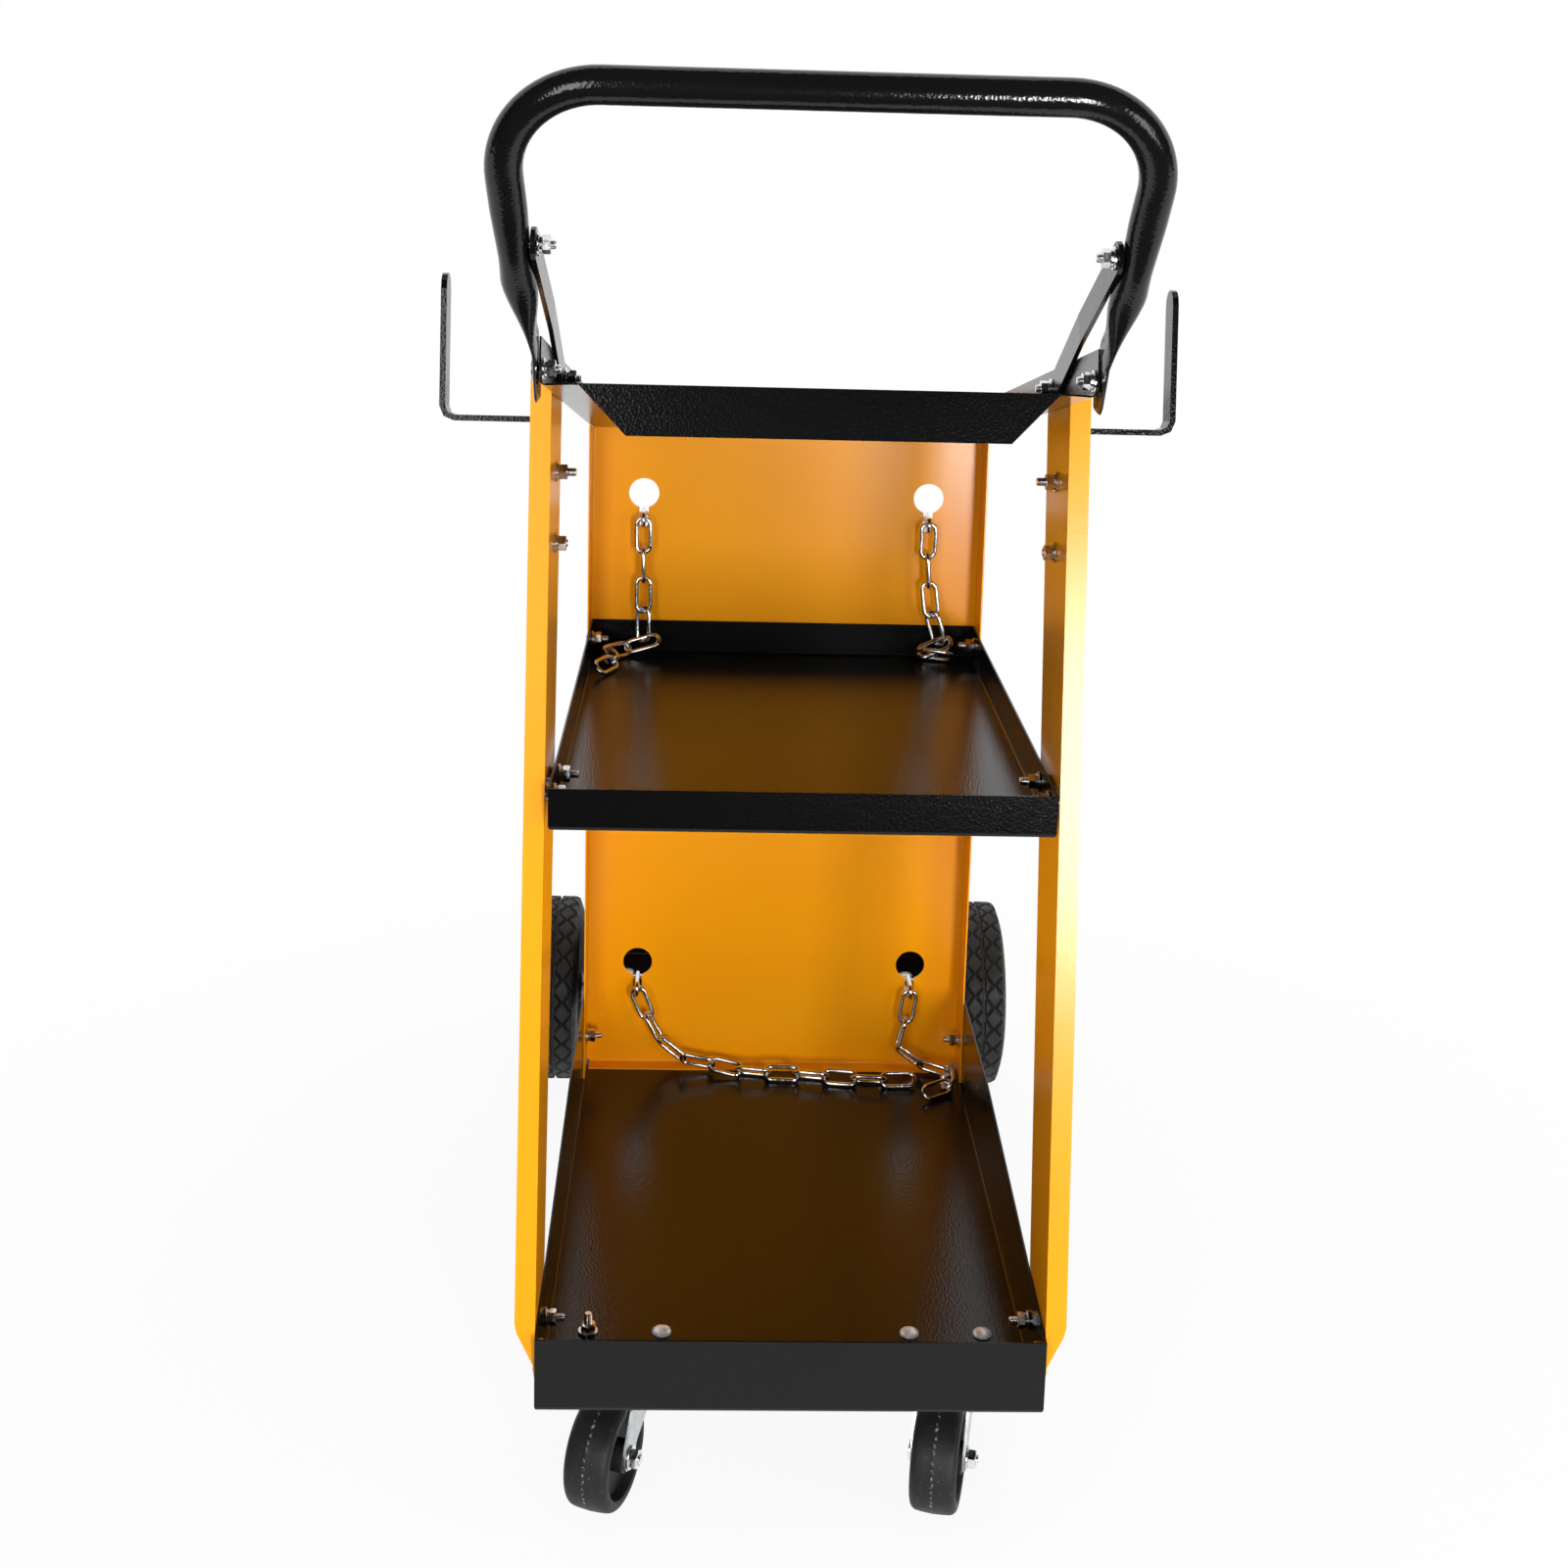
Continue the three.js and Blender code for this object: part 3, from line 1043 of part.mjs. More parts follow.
add('lower_left_chain', makeChain(-KEYHOLE_OFFSET, KEYHOLE_LOWER, baseRest, [
  [10, -0.6, 45.4], [22, -1.6, 23], [41, -3.6, 7.5], [66, -6.6, 3], [90, -13, 0], [115, -18, 0], [141, -20, 0],
  [167, -24, 0], [193, -28, 0], [218, -30, 0], [244, -29, 0],
]), 'zinc');
add('lower_right_chain', makeChain(KEYHOLE_OFFSET, KEYHOLE_LOWER, baseRest, [
  [-4, -0.6, 44], [-10, -1.6, 20], [9, -4.6, 4.5], [32, -13.6, 0.6], [33, -37.6, 0], [13, -54.6, 0],
]), 'zinc');

// The origin is under the middle of the whole cart
cart.position.y = -(FRONT_REACH + REAR_REACH) / 2;

export default cart;
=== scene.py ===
import json
import math

import bpy
import numpy as np
from mathutils import Matrix, Vector


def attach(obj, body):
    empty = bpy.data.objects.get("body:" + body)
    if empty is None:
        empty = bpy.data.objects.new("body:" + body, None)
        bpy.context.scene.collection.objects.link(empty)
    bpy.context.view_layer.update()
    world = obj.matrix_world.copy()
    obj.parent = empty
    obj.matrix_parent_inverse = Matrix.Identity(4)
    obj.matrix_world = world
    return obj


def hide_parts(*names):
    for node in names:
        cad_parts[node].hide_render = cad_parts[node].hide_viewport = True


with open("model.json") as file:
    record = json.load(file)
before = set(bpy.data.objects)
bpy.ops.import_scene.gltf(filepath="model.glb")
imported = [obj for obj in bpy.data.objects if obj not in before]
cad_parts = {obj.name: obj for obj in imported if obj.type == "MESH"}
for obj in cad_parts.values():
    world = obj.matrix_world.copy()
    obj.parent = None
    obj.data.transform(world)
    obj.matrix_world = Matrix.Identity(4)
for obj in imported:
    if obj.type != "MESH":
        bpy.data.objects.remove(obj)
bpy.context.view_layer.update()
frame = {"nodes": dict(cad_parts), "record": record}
nodes = frame["nodes"]
SIDES = (("left", -1), ("right", 1))

# Measures in millimetres, from the ground and from the front wall of the base tray
SHIFT = 343.625  # front wall to the middle of the cart
SHEET = 1.2  # thickness of every folded sheet
FIT = 0.3  # gap between pieces that touch
TRAY_HALF = 170  # half width of the base tray and the top tray
BASE_TOP = 96.5  # upper side of the base tray's floor
MIDDLE_TOP = 483.2  # upper side of the middle tray's floor
PANEL = 513  # front of the back panel
KEYHOLE_OFFSET = 123  # from the middle of the panel
KEYHOLE_UPPER = 623  # height of the round part
KEYHOLE_LOWER = 194
SLOT_DROP = 30  # middle of the round part to the end of the slot
UPRIGHT_SLANT = (102.5, 676)  # how far an upright's front edge leans back, and over what height
UPRIGHT_LEAN = math.atan2(*UPRIGHT_SLANT)
HOOK_THICKNESS = 4
STRUT_THICKNESS = 3
PLATE_THICKNESS = 2.5  # caster plates and saddles

# Handle; distances run along its lean, from its lower screw
HANDLE_LEAN = math.radians(30)
HANDLE_REACH = 194.5
HANDLE_BEND = 56  # radius of the middle line
HANDLE_SPLAY = 8.5  # how far a leg's round part spreads outwards
TUBE_RADIUS = 11
TUBE_SIDES = 40
FLAT_THICKNESS = 4  # pressed ends
FLAT_HALF_WIDTH = 16
FLAT_LENGTH = 20  # where a pressed end starts to open
ROUND_START = 66
FLAT_STATIONS = (-20, -19, -16, -10, 0, 12)  # rings of a pressed end
LEG_END = 130  # last station before the bend
LEG_STEP = 8.2  # how far the round part stands outside the flat one
LEG_PINCH = 1.5  # how far the strut's screw draws the tube in
PINCH_MIDDLE = 82
PINCH_REACH = 32  # to each side of it
END_START = -10  # where a pressed end starts to narrow
END_LENGTH = 10.4
END_LEAST = 0.08  # share of the squared width that stays at the tip

# Faces, from the middle of the cart
WALL_INSIDE = TRAY_HALF - SHEET
PANEL_OUTSIDE = WALL_INSIDE - FIT
PANEL_INSIDE = PANEL_OUTSIDE - SHEET
MIDDLE_OUTSIDE = PANEL_INSIDE - FIT
MIDDLE_INSIDE = MIDDLE_OUTSIDE - SHEET
STRUT_INSIDE = WALL_INSIDE - FIT - STRUT_THICKNESS
WEB_INSIDE = TRAY_HALF + FIT  # uprights
WEB_OUTSIDE = WEB_INSIDE + SHEET
FLAT_MIDDLE = TRAY_HALF + FIT + FLAT_THICKNESS / 2
FLAT_OUTSIDE = FLAT_MIDDLE + FLAT_THICKNESS / 2
HOOK_OUTSIDE = WEB_OUTSIDE + FIT + HOOK_THICKNESS

# Screws, M6
SCREW_RADIUS = 3
SHANK_RADIUS = 2.9
NUT_FLATS = 10
NUT_HEIGHT = 5
OVERLAP = 1  # how far a rod or a thread goes on inside the piece that it joins
HEAD_OVERLAP = 0.2
NUT_TURN = {"left": 0.35, "right": 1.25}  # radians
NUT_TURN_RISE = 0.002  # more for every millimetre of height, so that nuts don't all stand alike
FLOOR_NUT_TURN = 0.4
WASHER_HOLE = 3.1
WASHER_RADIUS = 7
WASHER_HEIGHT = 1.4
SPRING_RADIUS = 5.4
SPRING_HEIGHT = 1.6
HEAD_RADIUS = 6.5
HEAD_HEIGHT = 2.6
FLAT_HEAD_HEIGHT = 1  # on the pressed ends of the handle
SCREW_TAIL = 6  # thread past the nut
HANDLE_SCREW_TAIL = 3  # on the handle and its struts
HOOK_SCREW_TAIL = 1  # lower screw of a hook
DOME_RADIUS = 7  # round head of a bolt through a floor
DOME_HEIGHT = 3.6
SHORT_TAIL = 0.5  # thread past the nut under a floor
LONG_TAIL = 8  # and above it, where a bolt is fitted upside down

# Screw places: distance behind the front wall, and height
BASE_FRONT_SCREWS = {"near": (30, 122), "far": (67, 122)}
BASE_REAR_SCREW = (493, 132)
MIDDLE_FRONT_SCREWS = {"near": (78, 498), "far": (120, 498)}
MIDDLE_REAR_SCREW = (493, 498)
HANDLE_SCREW = (11, 790)
STRUT_SCREW = (150, 767)
STRUT_REACH = 90  # lower handle screw to the strut's upper screw, along the lean
HOOK_SCREW = (137, 705)
HOOK_SCREW_PITCH = 48
TOP_REAR_SCREW = (110, 695.49)  # distance from the middle, and height
PANEL_FOOT_BOLT = (158, 486)  # distance from the middle, and behind the front wall

# Rear wheels
WHEEL_RADIUS = 88.5
WHEEL_OFFSET = 207
AXLE = (696, WHEEL_RADIUS)
SADDLE_OFFSET = 140
SADDLE_BOLT_PITCH = 32
DIAMONDS = 26  # round the tyre
DIAMOND_STEPS = 14  # points along each
DIAMOND_TAPER = 0.96  # round the tyre, where it is 1 across it
TREAD_HALF = 18.5
TREAD_STEPS = 45
TREAD_DEPTH = 2.6
TREAD_EDGE = 0.12  # slope beside the grooves, as a share of a diamond
ROW_MIDDLE = 9.6  # each row of diamonds, from the middle of the tread
ROW_HALF = 8.4
BLOCK_START = 1.2  # outer blocks, as a share of a diamond from its middle
GROOVE_HALF = 0.9  # groove round the middle
GROOVE_EDGE = 0.7
SHOULDER_START = 12
SHOULDER_DROP = 9
SHOULDER_SQUARE = 110  # half width of the shoulder's ellipse, squared
# Radius, and distance from the middle of the tyre, from tread to rim
TYRE_WALL = [(79, 21.2), (75, 22.4), (69, 22.9), (64, 22.2), (60.5, 19.5), (58.4, 17)]

# Casters
CASTER = (114, 70)  # swivel axis: distance from the middle, and behind the front wall
CASTER_TRAIL = 32
CASTER_RADIUS = 38
CASTER_WIDTH = 32
CASTER_TURN = {"left": 20, "right": 14}  # degrees that each caster stands turned
CASTER_BOLT_PITCH = (52, 40)
FORK_GAP = 1
FORK_THICKNESS = 2
# Radius, and distance from the middle of the wheel: bore, hub, hollow side and rim
ROLLER_SIDE = [(4.3, 16.5), (11, 16.5), (11, 8), (26, 8), (27.2, 8.6), (29, 15.3), (30, 15.8), (32, 16)]
ROLLER_SHOULDER = (32, 10.5)  # middle of the round between side and tread
ROLLER_ROUND = (5.2, 5.5)
ROLLER_SWEEP = 0.86 * math.pi / 2
ROLLER_CROWN = [(37.5, 8), (37.75, 4.5), (37.9, 0.6), (CASTER_RADIUS, 0.25)]  # tread to seam
AXLE_BOLT_RADIUS = 4
AXLE_BOLT_END = (3.2, 8)  # radius, and how far it stands out from the fork
AXLE_NUT_FLATS = 12
AXLE_NUT_END = 6.5
AXLE_WASHER = (4.1, 8)  # hole and outside, as radii
AXLE_WASHER_HEIGHT = 1.2
AXLE_HEAD = [(0.1, 2), (5.4, 2), (7, 1.2), (7, 0)]  # radius, and height on the fork

# Chains
WIRE = 2.0  # radius
LINK_PITCH = 26.0
LINK_WIDTH = 16.0
# Height of the middle of a link that lies turned by 45 degrees
LINK_REST = FIT + WIRE + (LINK_WIDTH / 2 - WIRE) * math.sqrt(0.5)
CROSSED_TILT = 0.8  # lean of the link that lies across the one before

# Camera; its turns are in radians
CAMERA_PLACE = (-63.41, -1235.38, 942.55)
CAMERA_YAW = 0.035
CAMERA_PITCH = 0.186
CAMERA_ROLL = -0.027
CAMERA_SHIFT = -0.1768  # share of the picture's width
SENSOR = 36
FOCAL_PIXELS = 2100
PHOTO_PIXELS = 1600

# Studio, in metres
AMBIENT = 0.3  # light from all round
FLOOR_WHITE = 0.92  # the rest of the floor's brightness shows the shadow, near the cart
FLOOR_HALF = 12
FLOOR_HEIGHT = -0.0005
SHADOW_REACH = (0.5, 1.1)  # from the middle; on the way the floor turns all white
ROOM_HALF = 3
ROOM_FRONT = -3.2
ROOM_REAR = 0.2
ROOM_HEIGHT = 3
ROOM_FLOOR = 0.002
ROOM_FLOOR_END = -0.75

# Looks
SHARP = 32  # degrees past which an edge stays sharp
COAT_EDGE = 0.00045  # metres
COAT_EDGE_ANGLE = 30
SEAM_DUST = (0.0005, 0.0013)  # metres from the mould's seam
DUST = (0.3, 0.29, 0.27, 1)
DULL_SHARE = 0.8  # colour of the duller patches of metal


def point(x, y, z):
    """Place in the frame, in metres, of a place in the cart's measures."""
    return Vector((x, y - SHIFT, z)) / 1000


# Materials
def new_material(name):
    material = bpy.data.materials.new(name)
    material.use_nodes = True
    tree = material.node_tree
    return material, tree, tree.nodes["Principled BSDF"]


def noise(tree, scale, detail=3.0, roughness=0.5):
    coordinates = tree.nodes.new("ShaderNodeTexCoord")
    texture = tree.nodes.new("ShaderNodeTexNoise")
    texture.inputs["Scale"].default_value = scale
    texture.inputs["Detail"].default_value = detail
    texture.inputs["Roughness"].default_value = roughness
    tree.links.new(coordinates.outputs["Object"], texture.inputs["Vector"])
    return texture.outputs["Fac"]


def cells(tree, scale):
    """Cells that touch one another, each a hollow about its own middle."""
    coordinates = tree.nodes.new("ShaderNodeTexCoord")
    texture = tree.nodes.new("ShaderNodeTexVoronoi")
    texture.inputs["Scale"].default_value = scale
    tree.links.new(coordinates.outputs["Object"], texture.inputs["Vector"])
    return texture.outputs["Distance"]


def spread(tree, value, low, high, start=0.3, end=0.7):
    """Value from start to end, spread from low to high."""
    span = tree.nodes.new("ShaderNodeMapRange")
    span.inputs["From Min"].default_value = start
    span.inputs["From Max"].default_value = end
    span.inputs["To Min"].default_value = low
    span.inputs["To Max"].default_value = high
    tree.links.new(value, span.inputs["Value"])
    return span.outputs["Result"]


def computed(tree, operation, *values):
    """Result of an operation on values that come from other nodes."""
    node = tree.nodes.new("ShaderNodeMath")
    node.operation = operation
    for index, value in enumerate(values):
        tree.links.new(value, node.inputs[index])
    return node.outputs["Value"]


def coloured(tree, shader, value, dark, light):
    """Base colour from dark to light, as the value goes from low to high."""
    mix = tree.nodes.new("ShaderNodeMix")
    mix.data_type = "RGBA"
    mix.inputs["A"].default_value = (*dark, 1)
    mix.inputs["B"].default_value = (*light, 1)
    tree.links.new(spread(tree, value, 0, 1), mix.inputs["Factor"])
    tree.links.new(mix.outputs["Result"], shader.inputs["Base Color"])


def glossed(tree, shader, value, roughness):
    tree.links.new(spread(tree, value, *roughness), shader.inputs["Roughness"])


def bumped(tree, shader, *heights):
    """Bumps in a row; heights are (value, strength, distance in metres)."""
    normal = None
    for value, strength, distance in heights:
        bump = tree.nodes.new("ShaderNodeBump")
        bump.inputs["Strength"].default_value = strength
        bump.inputs["Distance"].default_value = distance
        tree.links.new(value, bump.inputs["Height"])
        if normal is not None:
            tree.links.new(normal, bump.inputs["Normal"])
        normal = bump.outputs["Normal"]
    tree.links.new(normal, shader.inputs["Normal"])


def coat(name, dark, light, roughness, peel, specular):
    """Powder coat: an even colour, an orange peel and a fine grain of gloss."""
    material, tree, shader = new_material(name)
    coloured(tree, shader, noise(tree, scale=6, detail=1), dark, light)
    grain = noise(tree, scale=900, detail=2)
    glossed(tree, shader, grain, roughness)
    shader.inputs["Specular IOR Level"].default_value = specular
    waves = noise(tree, scale=150, detail=1, roughness=0.3)
    pebbles = cells(tree, scale=560)
    bumped(
        tree, shader,
        (waves, peel * 0.08, 0.0004), (pebbles, peel, 0.0002), (grain, peel * 0.6, 0.0001),
    )
    return material


def metal(name, colour, roughness, metallic=1.0):
    """Bright zinc plate with fine scratches and duller patches; below full metallic, its white diffuse
    part is a painted reflection.
    """
    material, tree, shader = new_material(name)
    duller = tuple(DULL_SHARE * value for value in colour)
    coloured(tree, shader, noise(tree, scale=240), duller, colour)
    glossed(tree, shader, noise(tree, scale=420, detail=4), roughness)
    shader.inputs["Metallic"].default_value = metallic
    scratches = noise(tree, scale=900)
    bumped(tree, shader, (scratches, 0.12, 0.0001))
    return material


def rubber(name, dark, light, roughness, grain):
    """Dull rubber or plastic with a fine grain."""
    material, tree, shader = new_material(name)
    coloured(tree, shader, noise(tree, scale=60, detail=5), dark, light)
    glossed(tree, shader, noise(tree, scale=130, detail=4), roughness)
    shader.inputs["Specular IOR Level"].default_value = 0.3
    bumped(tree, shader, (noise(tree, scale=1100), grain, 0.00025))
    return material


def roller_rubber():
    """Caster rubber with pale dust along the seam of the mould."""
    material = rubber("caster_rubber", (0.007, 0.007, 0.007), (0.012, 0.012, 0.012), (0.45, 0.6), 0.2)
    tree = material.node_tree
    shader = tree.nodes["Principled BSDF"]
    plain = shader.inputs["Base Color"].links[0].from_socket
    coordinates = tree.nodes.new("ShaderNodeTexCoord")
    place = tree.nodes.new("ShaderNodeSeparateXYZ")
    tree.links.new(coordinates.outputs["Object"], place.inputs["Vector"])
    off_seam = computed(tree, "ABSOLUTE", place.outputs["X"])
    near = spread(tree, off_seam, 1, 0, *SEAM_DUST)
    specks = spread(tree, noise(tree, 420, 4, 0.7), 0, 1, start=0.54, end=0.62)
    scattered = spread(tree, noise(tree, 520, 4, 0.7), 0, 0.5, start=0.66, end=0.72)
    dusty = tree.nodes.new("ShaderNodeMix")
    dusty.data_type = "RGBA"
    dusty.inputs["B"].default_value = DUST
    tree.links.new(computed(tree, "MULTIPLY_ADD", near, specks, scattered), dusty.inputs["Factor"])
    tree.links.new(plain, dusty.inputs["A"])
    tree.links.new(dusty.outputs["Result"], shader.inputs["Base Color"])
    return material


YELLOW = coat(
    "yellow_coat", (0.88, 0.32, 0.0015), (0.92, 0.345, 0.002),
    roughness=(0.19, 0.24), peel=0.1, specular=0.4,
)
BLACK = coat(
    "black_coat", (0.0025, 0.0025, 0.0026), (0.0035, 0.0035, 0.0037),
    roughness=(0.15, 0.2), peel=0.5, specular=0.27,
)
BLACK_TUBE = coat(
    "black_tube_coat", (0.0035, 0.0035, 0.0035), (0.005, 0.005, 0.005),
    roughness=(0.1, 0.16), peel=0.42, specular=0.38,
)
ZINC = metal("bright_zinc", (0.92, 0.92, 0.92), (0.13, 0.26))
PLATED = metal("plated_sheet", (0.66, 0.69, 0.7), (0.3, 0.42))
# Round heads: mostly white diffuse colour, a painted reflection in place of a bright lamp that their
# tops would mirror
DOME = metal("zinc_painted_gleam", (0.96, 0.96, 0.96), (0.22, 0.32), metallic=0.3)
CHAIN = metal("chain_zinc", (0.84, 0.84, 0.83), (0.1, 0.24))
TYRE = rubber("tyre_rubber", (0.016, 0.016, 0.015), (0.028, 0.028, 0.027), (0.45, 0.65), 0.5)
ROLLER = roller_rubber()
HUB = rubber("hub_plastic", (0.012, 0.012, 0.012), (0.02, 0.02, 0.02), (0.4, 0.55), 0.2)

LOOKS = {
    "yellow_coat": YELLOW, "black_coat": BLACK, "zinc": PLATED,
    "tyre": TYRE, "caster_rubber": ROLLER, "hub_plastic": HUB,
}
slot_of = {entry["node"]: entry["material_slot"] for entry in frame["record"]["subparts"]}


def shade(mesh, sharp):
    """Smooth shading, apart from edges that turn by more than this many degrees."""
    for polygon in mesh.polygons:
        polygon.use_smooth = True
    mesh.set_sharp_from_angle(angle=math.radians(sharp))


def soften(piece):
    """Narrow round edges, as a coat leaves them."""
    bevel = piece.modifiers.new("edges", "BEVEL")
    bevel.width = COAT_EDGE
    bevel.segments = 2
    bevel.limit_method = "ANGLE"
    bevel.angle_limit = math.radians(COAT_EDGE_ANGLE)
    bevel.harden_normals = True


for name, node in nodes.items():
    node.data.materials.clear()
    node.data.materials.append(LOOKS[slot_of[name]])
    shade(node.data, SHARP)
    if slot_of[name] in ("yellow_coat", "black_coat"):
        soften(node)


# Building pieces
class Shape:
    """Vertices and faces gathered from rings of points, in millimetres."""

    def __init__(self):
        self.verts = []
        self.faces = []

    def rings(self, rings, closed=False, caps=True):
        """Skin over rings, each an array of points; closed joins the last ring to the first."""
        base = len(self.verts)
        count = len(rings[0])
        for ring in rings:
            self.verts.extend(ring)
        total = len(rings)
        for r in range(total if closed else total - 1):
            a = base + r * count
            b = base + ((r + 1) % total) * count
            for s in range(count):
                n = (s + 1) % count
                self.faces.append((a + s, a + n, b + n, b + s))
        if caps and not closed:
            self.faces.append([base + s for s in range(count)][::-1])
            self.faces.append([base + (total - 1) * count + s for s in range(count)])
        return self


def new_mesh(name, shape, material, sharp=SHARP):
    """A mesh in metres from a shape in millimetres."""
    mesh = bpy.data.meshes.new(name)
    mesh.from_pydata([tuple(v) for v in shape.verts], [], [tuple(f) for f in shape.faces])
    mesh.transform(Matrix.Scale(0.001, 4))
    shade(mesh, sharp)
    mesh.materials.append(material)
    return mesh


def put(name, mesh, body, stands_for=(), matrix=None):
    """A piece set in place by matrix, or as it is in the cart's measures."""
    piece = bpy.data.objects.new(name, mesh)
    bpy.context.scene.collection.objects.link(piece)
    piece.matrix_world = matrix if matrix is not None else Matrix.Translation(point(0, 0, 0))
    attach(piece, body)
    if stands_for:
        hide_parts(*stands_for)
    return piece


def make(name, shape, material, body, stands_for=(), matrix=None, sharp=SHARP):
    return put(name, new_mesh(name, shape, material, sharp), body, stands_for, matrix)


def circle(count):
    turn = np.linspace(0, 2 * math.pi, count, endpoint=False)
    return np.cos(turn), np.sin(turn)


def turned(shape, profile, sides, closed=True):
    """Turned about X; profile is [radius, place along X], a loop where closed."""
    c, s = circle(sides)
    rings = [np.column_stack([np.full(sides, along), r * c, r * s]) for r, along in profile]
    return shape.rings(rings, closed=closed, caps=not closed)


def rod(shape, radius, low, high, sides=20):
    return turned(shape, [(radius, low), (radius, high)], sides, closed=False)


# Fasteners, along X
def hexagon(shape, low, high, flats=NUT_FLATS, steps=8):
    """Hexagon with both ends chamfered."""
    face_share = 0.97  # the chamfer's circle on each end, in half the flats
    chamfer = math.radians(30)
    count = 6 * steps
    turn = np.linspace(0, 2 * math.pi, count, endpoint=False)
    inner = flats / 2
    edge = inner / np.cos((turn + math.pi / 6) % (math.pi / 3) - math.pi / 6)
    face = np.full(count, inner * face_share)
    drop = (edge - face) * math.tan(chamfer)
    ends = (np.full(count, low), face), (np.full(count, high), face)
    c, s = np.cos(turn), np.sin(turn)
    rings = []
    for along, radius in (ends[0], (low + drop, edge), (high - drop, edge), ends[1]):
        rings.append(np.column_stack([along, radius * c, radius * s]))
    return shape.rings(rings)


def washer(shape, low, high, inner, outer):
    edge = 0.2
    profile = [
        (inner, low), (outer - edge, low), (outer, low + edge),
        (outer, high - edge), (outer - edge, high), (inner, high),
    ]
    return turned(shape, profile, sides=40)


def spring_washer(shape, low, high, inner, outer):
    """Split ring whose ends stand a little apart."""
    steps = 40
    split = 0.12  # radians on each side
    rise = 0.25
    gap = 0.15
    section = [(inner, low + gap), (outer, low + gap), (outer, high - gap), (inner, high - gap)]
    rings = []
    for share in np.linspace(0, 1, steps + 1):
        turn = split + share * (2 * math.pi - 2 * split)
        lift = (share - 0.5) * rise
        c, s = math.cos(turn), math.sin(turn)
        rings.append(np.array([(along + lift, r * c, r * s) for r, along in section]))
    return shape.rings(rings)


def thread(shape, low, high, radius):
    """Threaded rod with a chamfered lower end."""
    pitch = 1.0
    depth = 0.558
    sides = 24
    steps = 6  # for each turn
    chamfer = 0.9
    chamfer_start = 0.8  # share of the radius
    count = max(4, int((high - low) / pitch * steps))
    turn = np.linspace(0, 2 * math.pi, sides, endpoint=False)
    rings = []
    for step in range(count + 1):
        along = low + (high - low) * step / count
        phase = (along / pitch - turn / (2 * math.pi)) % 1.0
        groove = depth * (1 - np.abs(2 * phase - 1))
        past_chamfer = min(1.0, (along - low) / chamfer)
        r = (radius - groove) * (chamfer_start + (1 - chamfer_start) * past_chamfer)
        rings.append(np.column_stack([np.full(sides, along), r * np.cos(turn), r * np.sin(turn)]))
    return shape.rings(rings)


def dome(shape, base, radius, height):
    """Low round head on a thin rim."""
    rim = 0.4
    top = math.pi / 2 - 0.02
    turns = np.linspace(0, top, 10)
    arc = [(radius * math.cos(a), base + rim + (height - rim) * math.sin(a)) for a in turns]
    return turned(shape, [(radius, base), *arc], sides=40, closed=False)


def screw_mesh(grip, spacer=None, head=HEAD_HEIGHT, tail=SCREW_TAIL):
    """Nut, washers and thread below the plane at 0, low round head above the plane at grip."""
    shape = Shape()
    plate = -FIT - WASHER_HEIGHT
    spring = plate - SPRING_HEIGHT
    nut = spring - NUT_HEIGHT
    washer(shape, plate, -FIT, WASHER_HOLE, WASHER_RADIUS)
    spring_washer(shape, spring, plate, WASHER_HOLE, SPRING_RADIUS)
    hexagon(shape, nut, spring)
    thread(shape, nut - tail, nut + OVERLAP, SCREW_RADIUS)
    rod(shape, SHANK_RADIUS, nut, grip)
    if head:
        dome(shape, grip + FIT, HEAD_RADIUS, head)
        rod(shape, SHANK_RADIUS, grip - OVERLAP, grip + FIT + HEAD_OVERLAP)
    if spacer:
        washer(shape, *spacer, WASHER_HOLE, SPRING_RADIUS)
    return new_mesh("screw", shape, ZINC)


def add_screws(name, place, inside, outside, **options):
    """A screw on each side, its nut on the plane at inside and its head on the plane at outside."""
    y, z = place
    mesh = screw_mesh(outside - inside, **options)
    for side, sign in SIDES:
        turn = Matrix.Rotation(0 if sign > 0 else math.pi, 4, "Z")
        spin = Matrix.Rotation(NUT_TURN[side] + NUT_TURN_RISE * z, 4, "X")
        matrix = Matrix.Translation(point(sign * inside, y, z)) @ turn @ spin
        screw = f"{side}_{name}_screw"
        put(f"{screw}_detail", mesh, "cart_frame", [screw], matrix)


def along_lean(distance):
    """Place of a point this far along a leg of the handle, from its lower screw."""
    y, z = HANDLE_SCREW
    return y - distance * math.sin(HANDLE_LEAN), z + distance * math.cos(HANDLE_LEAN)


def opened(distance):
    """0 where a leg of the handle is pressed flat, 1 where it is round."""
    return min(1.0, max(0.0, (distance - FLAT_LENGTH) / (ROUND_START - FLAT_LENGTH)))


def leg_offset(distance):
    """How far a leg of the handle stands out from the middle of the cart."""
    splayed = max(0, (distance - ROUND_START) / (HANDLE_REACH - ROUND_START))
    return FLAT_MIDDLE + LEG_STEP * opened(distance) + HANDLE_SPLAY * splayed


def hook_lower_screw():
    y, z = HOOK_SCREW
    return y - HOOK_SCREW_PITCH * math.sin(UPRIGHT_LEAN), z - HOOK_SCREW_PITCH * math.cos(UPRIGHT_LEAN)


# Screws through the sides of the cart
middle_spacer = (MIDDLE_OUTSIDE + FIT - MIDDLE_INSIDE, WEB_INSIDE - FIT - MIDDLE_INSIDE)
strut_upper_outside = leg_offset(STRUT_REACH) - FIT
strut_upper_inside = leg_offset(STRUT_REACH) - TUBE_RADIUS + LEG_PINCH - 4 * FIT - STRUT_THICKNESS
for which, place in BASE_FRONT_SCREWS.items():
    add_screws(f"base_front_{which}", place, WALL_INSIDE, WEB_OUTSIDE)
add_screws("base_rear", BASE_REAR_SCREW, PANEL_INSIDE, TRAY_HALF)
for which, place in MIDDLE_FRONT_SCREWS.items():
    add_screws(f"middle_front_{which}", place, MIDDLE_INSIDE, WEB_OUTSIDE, spacer=middle_spacer)
add_screws("middle_rear", MIDDLE_REAR_SCREW, MIDDLE_INSIDE, PANEL_OUTSIDE)
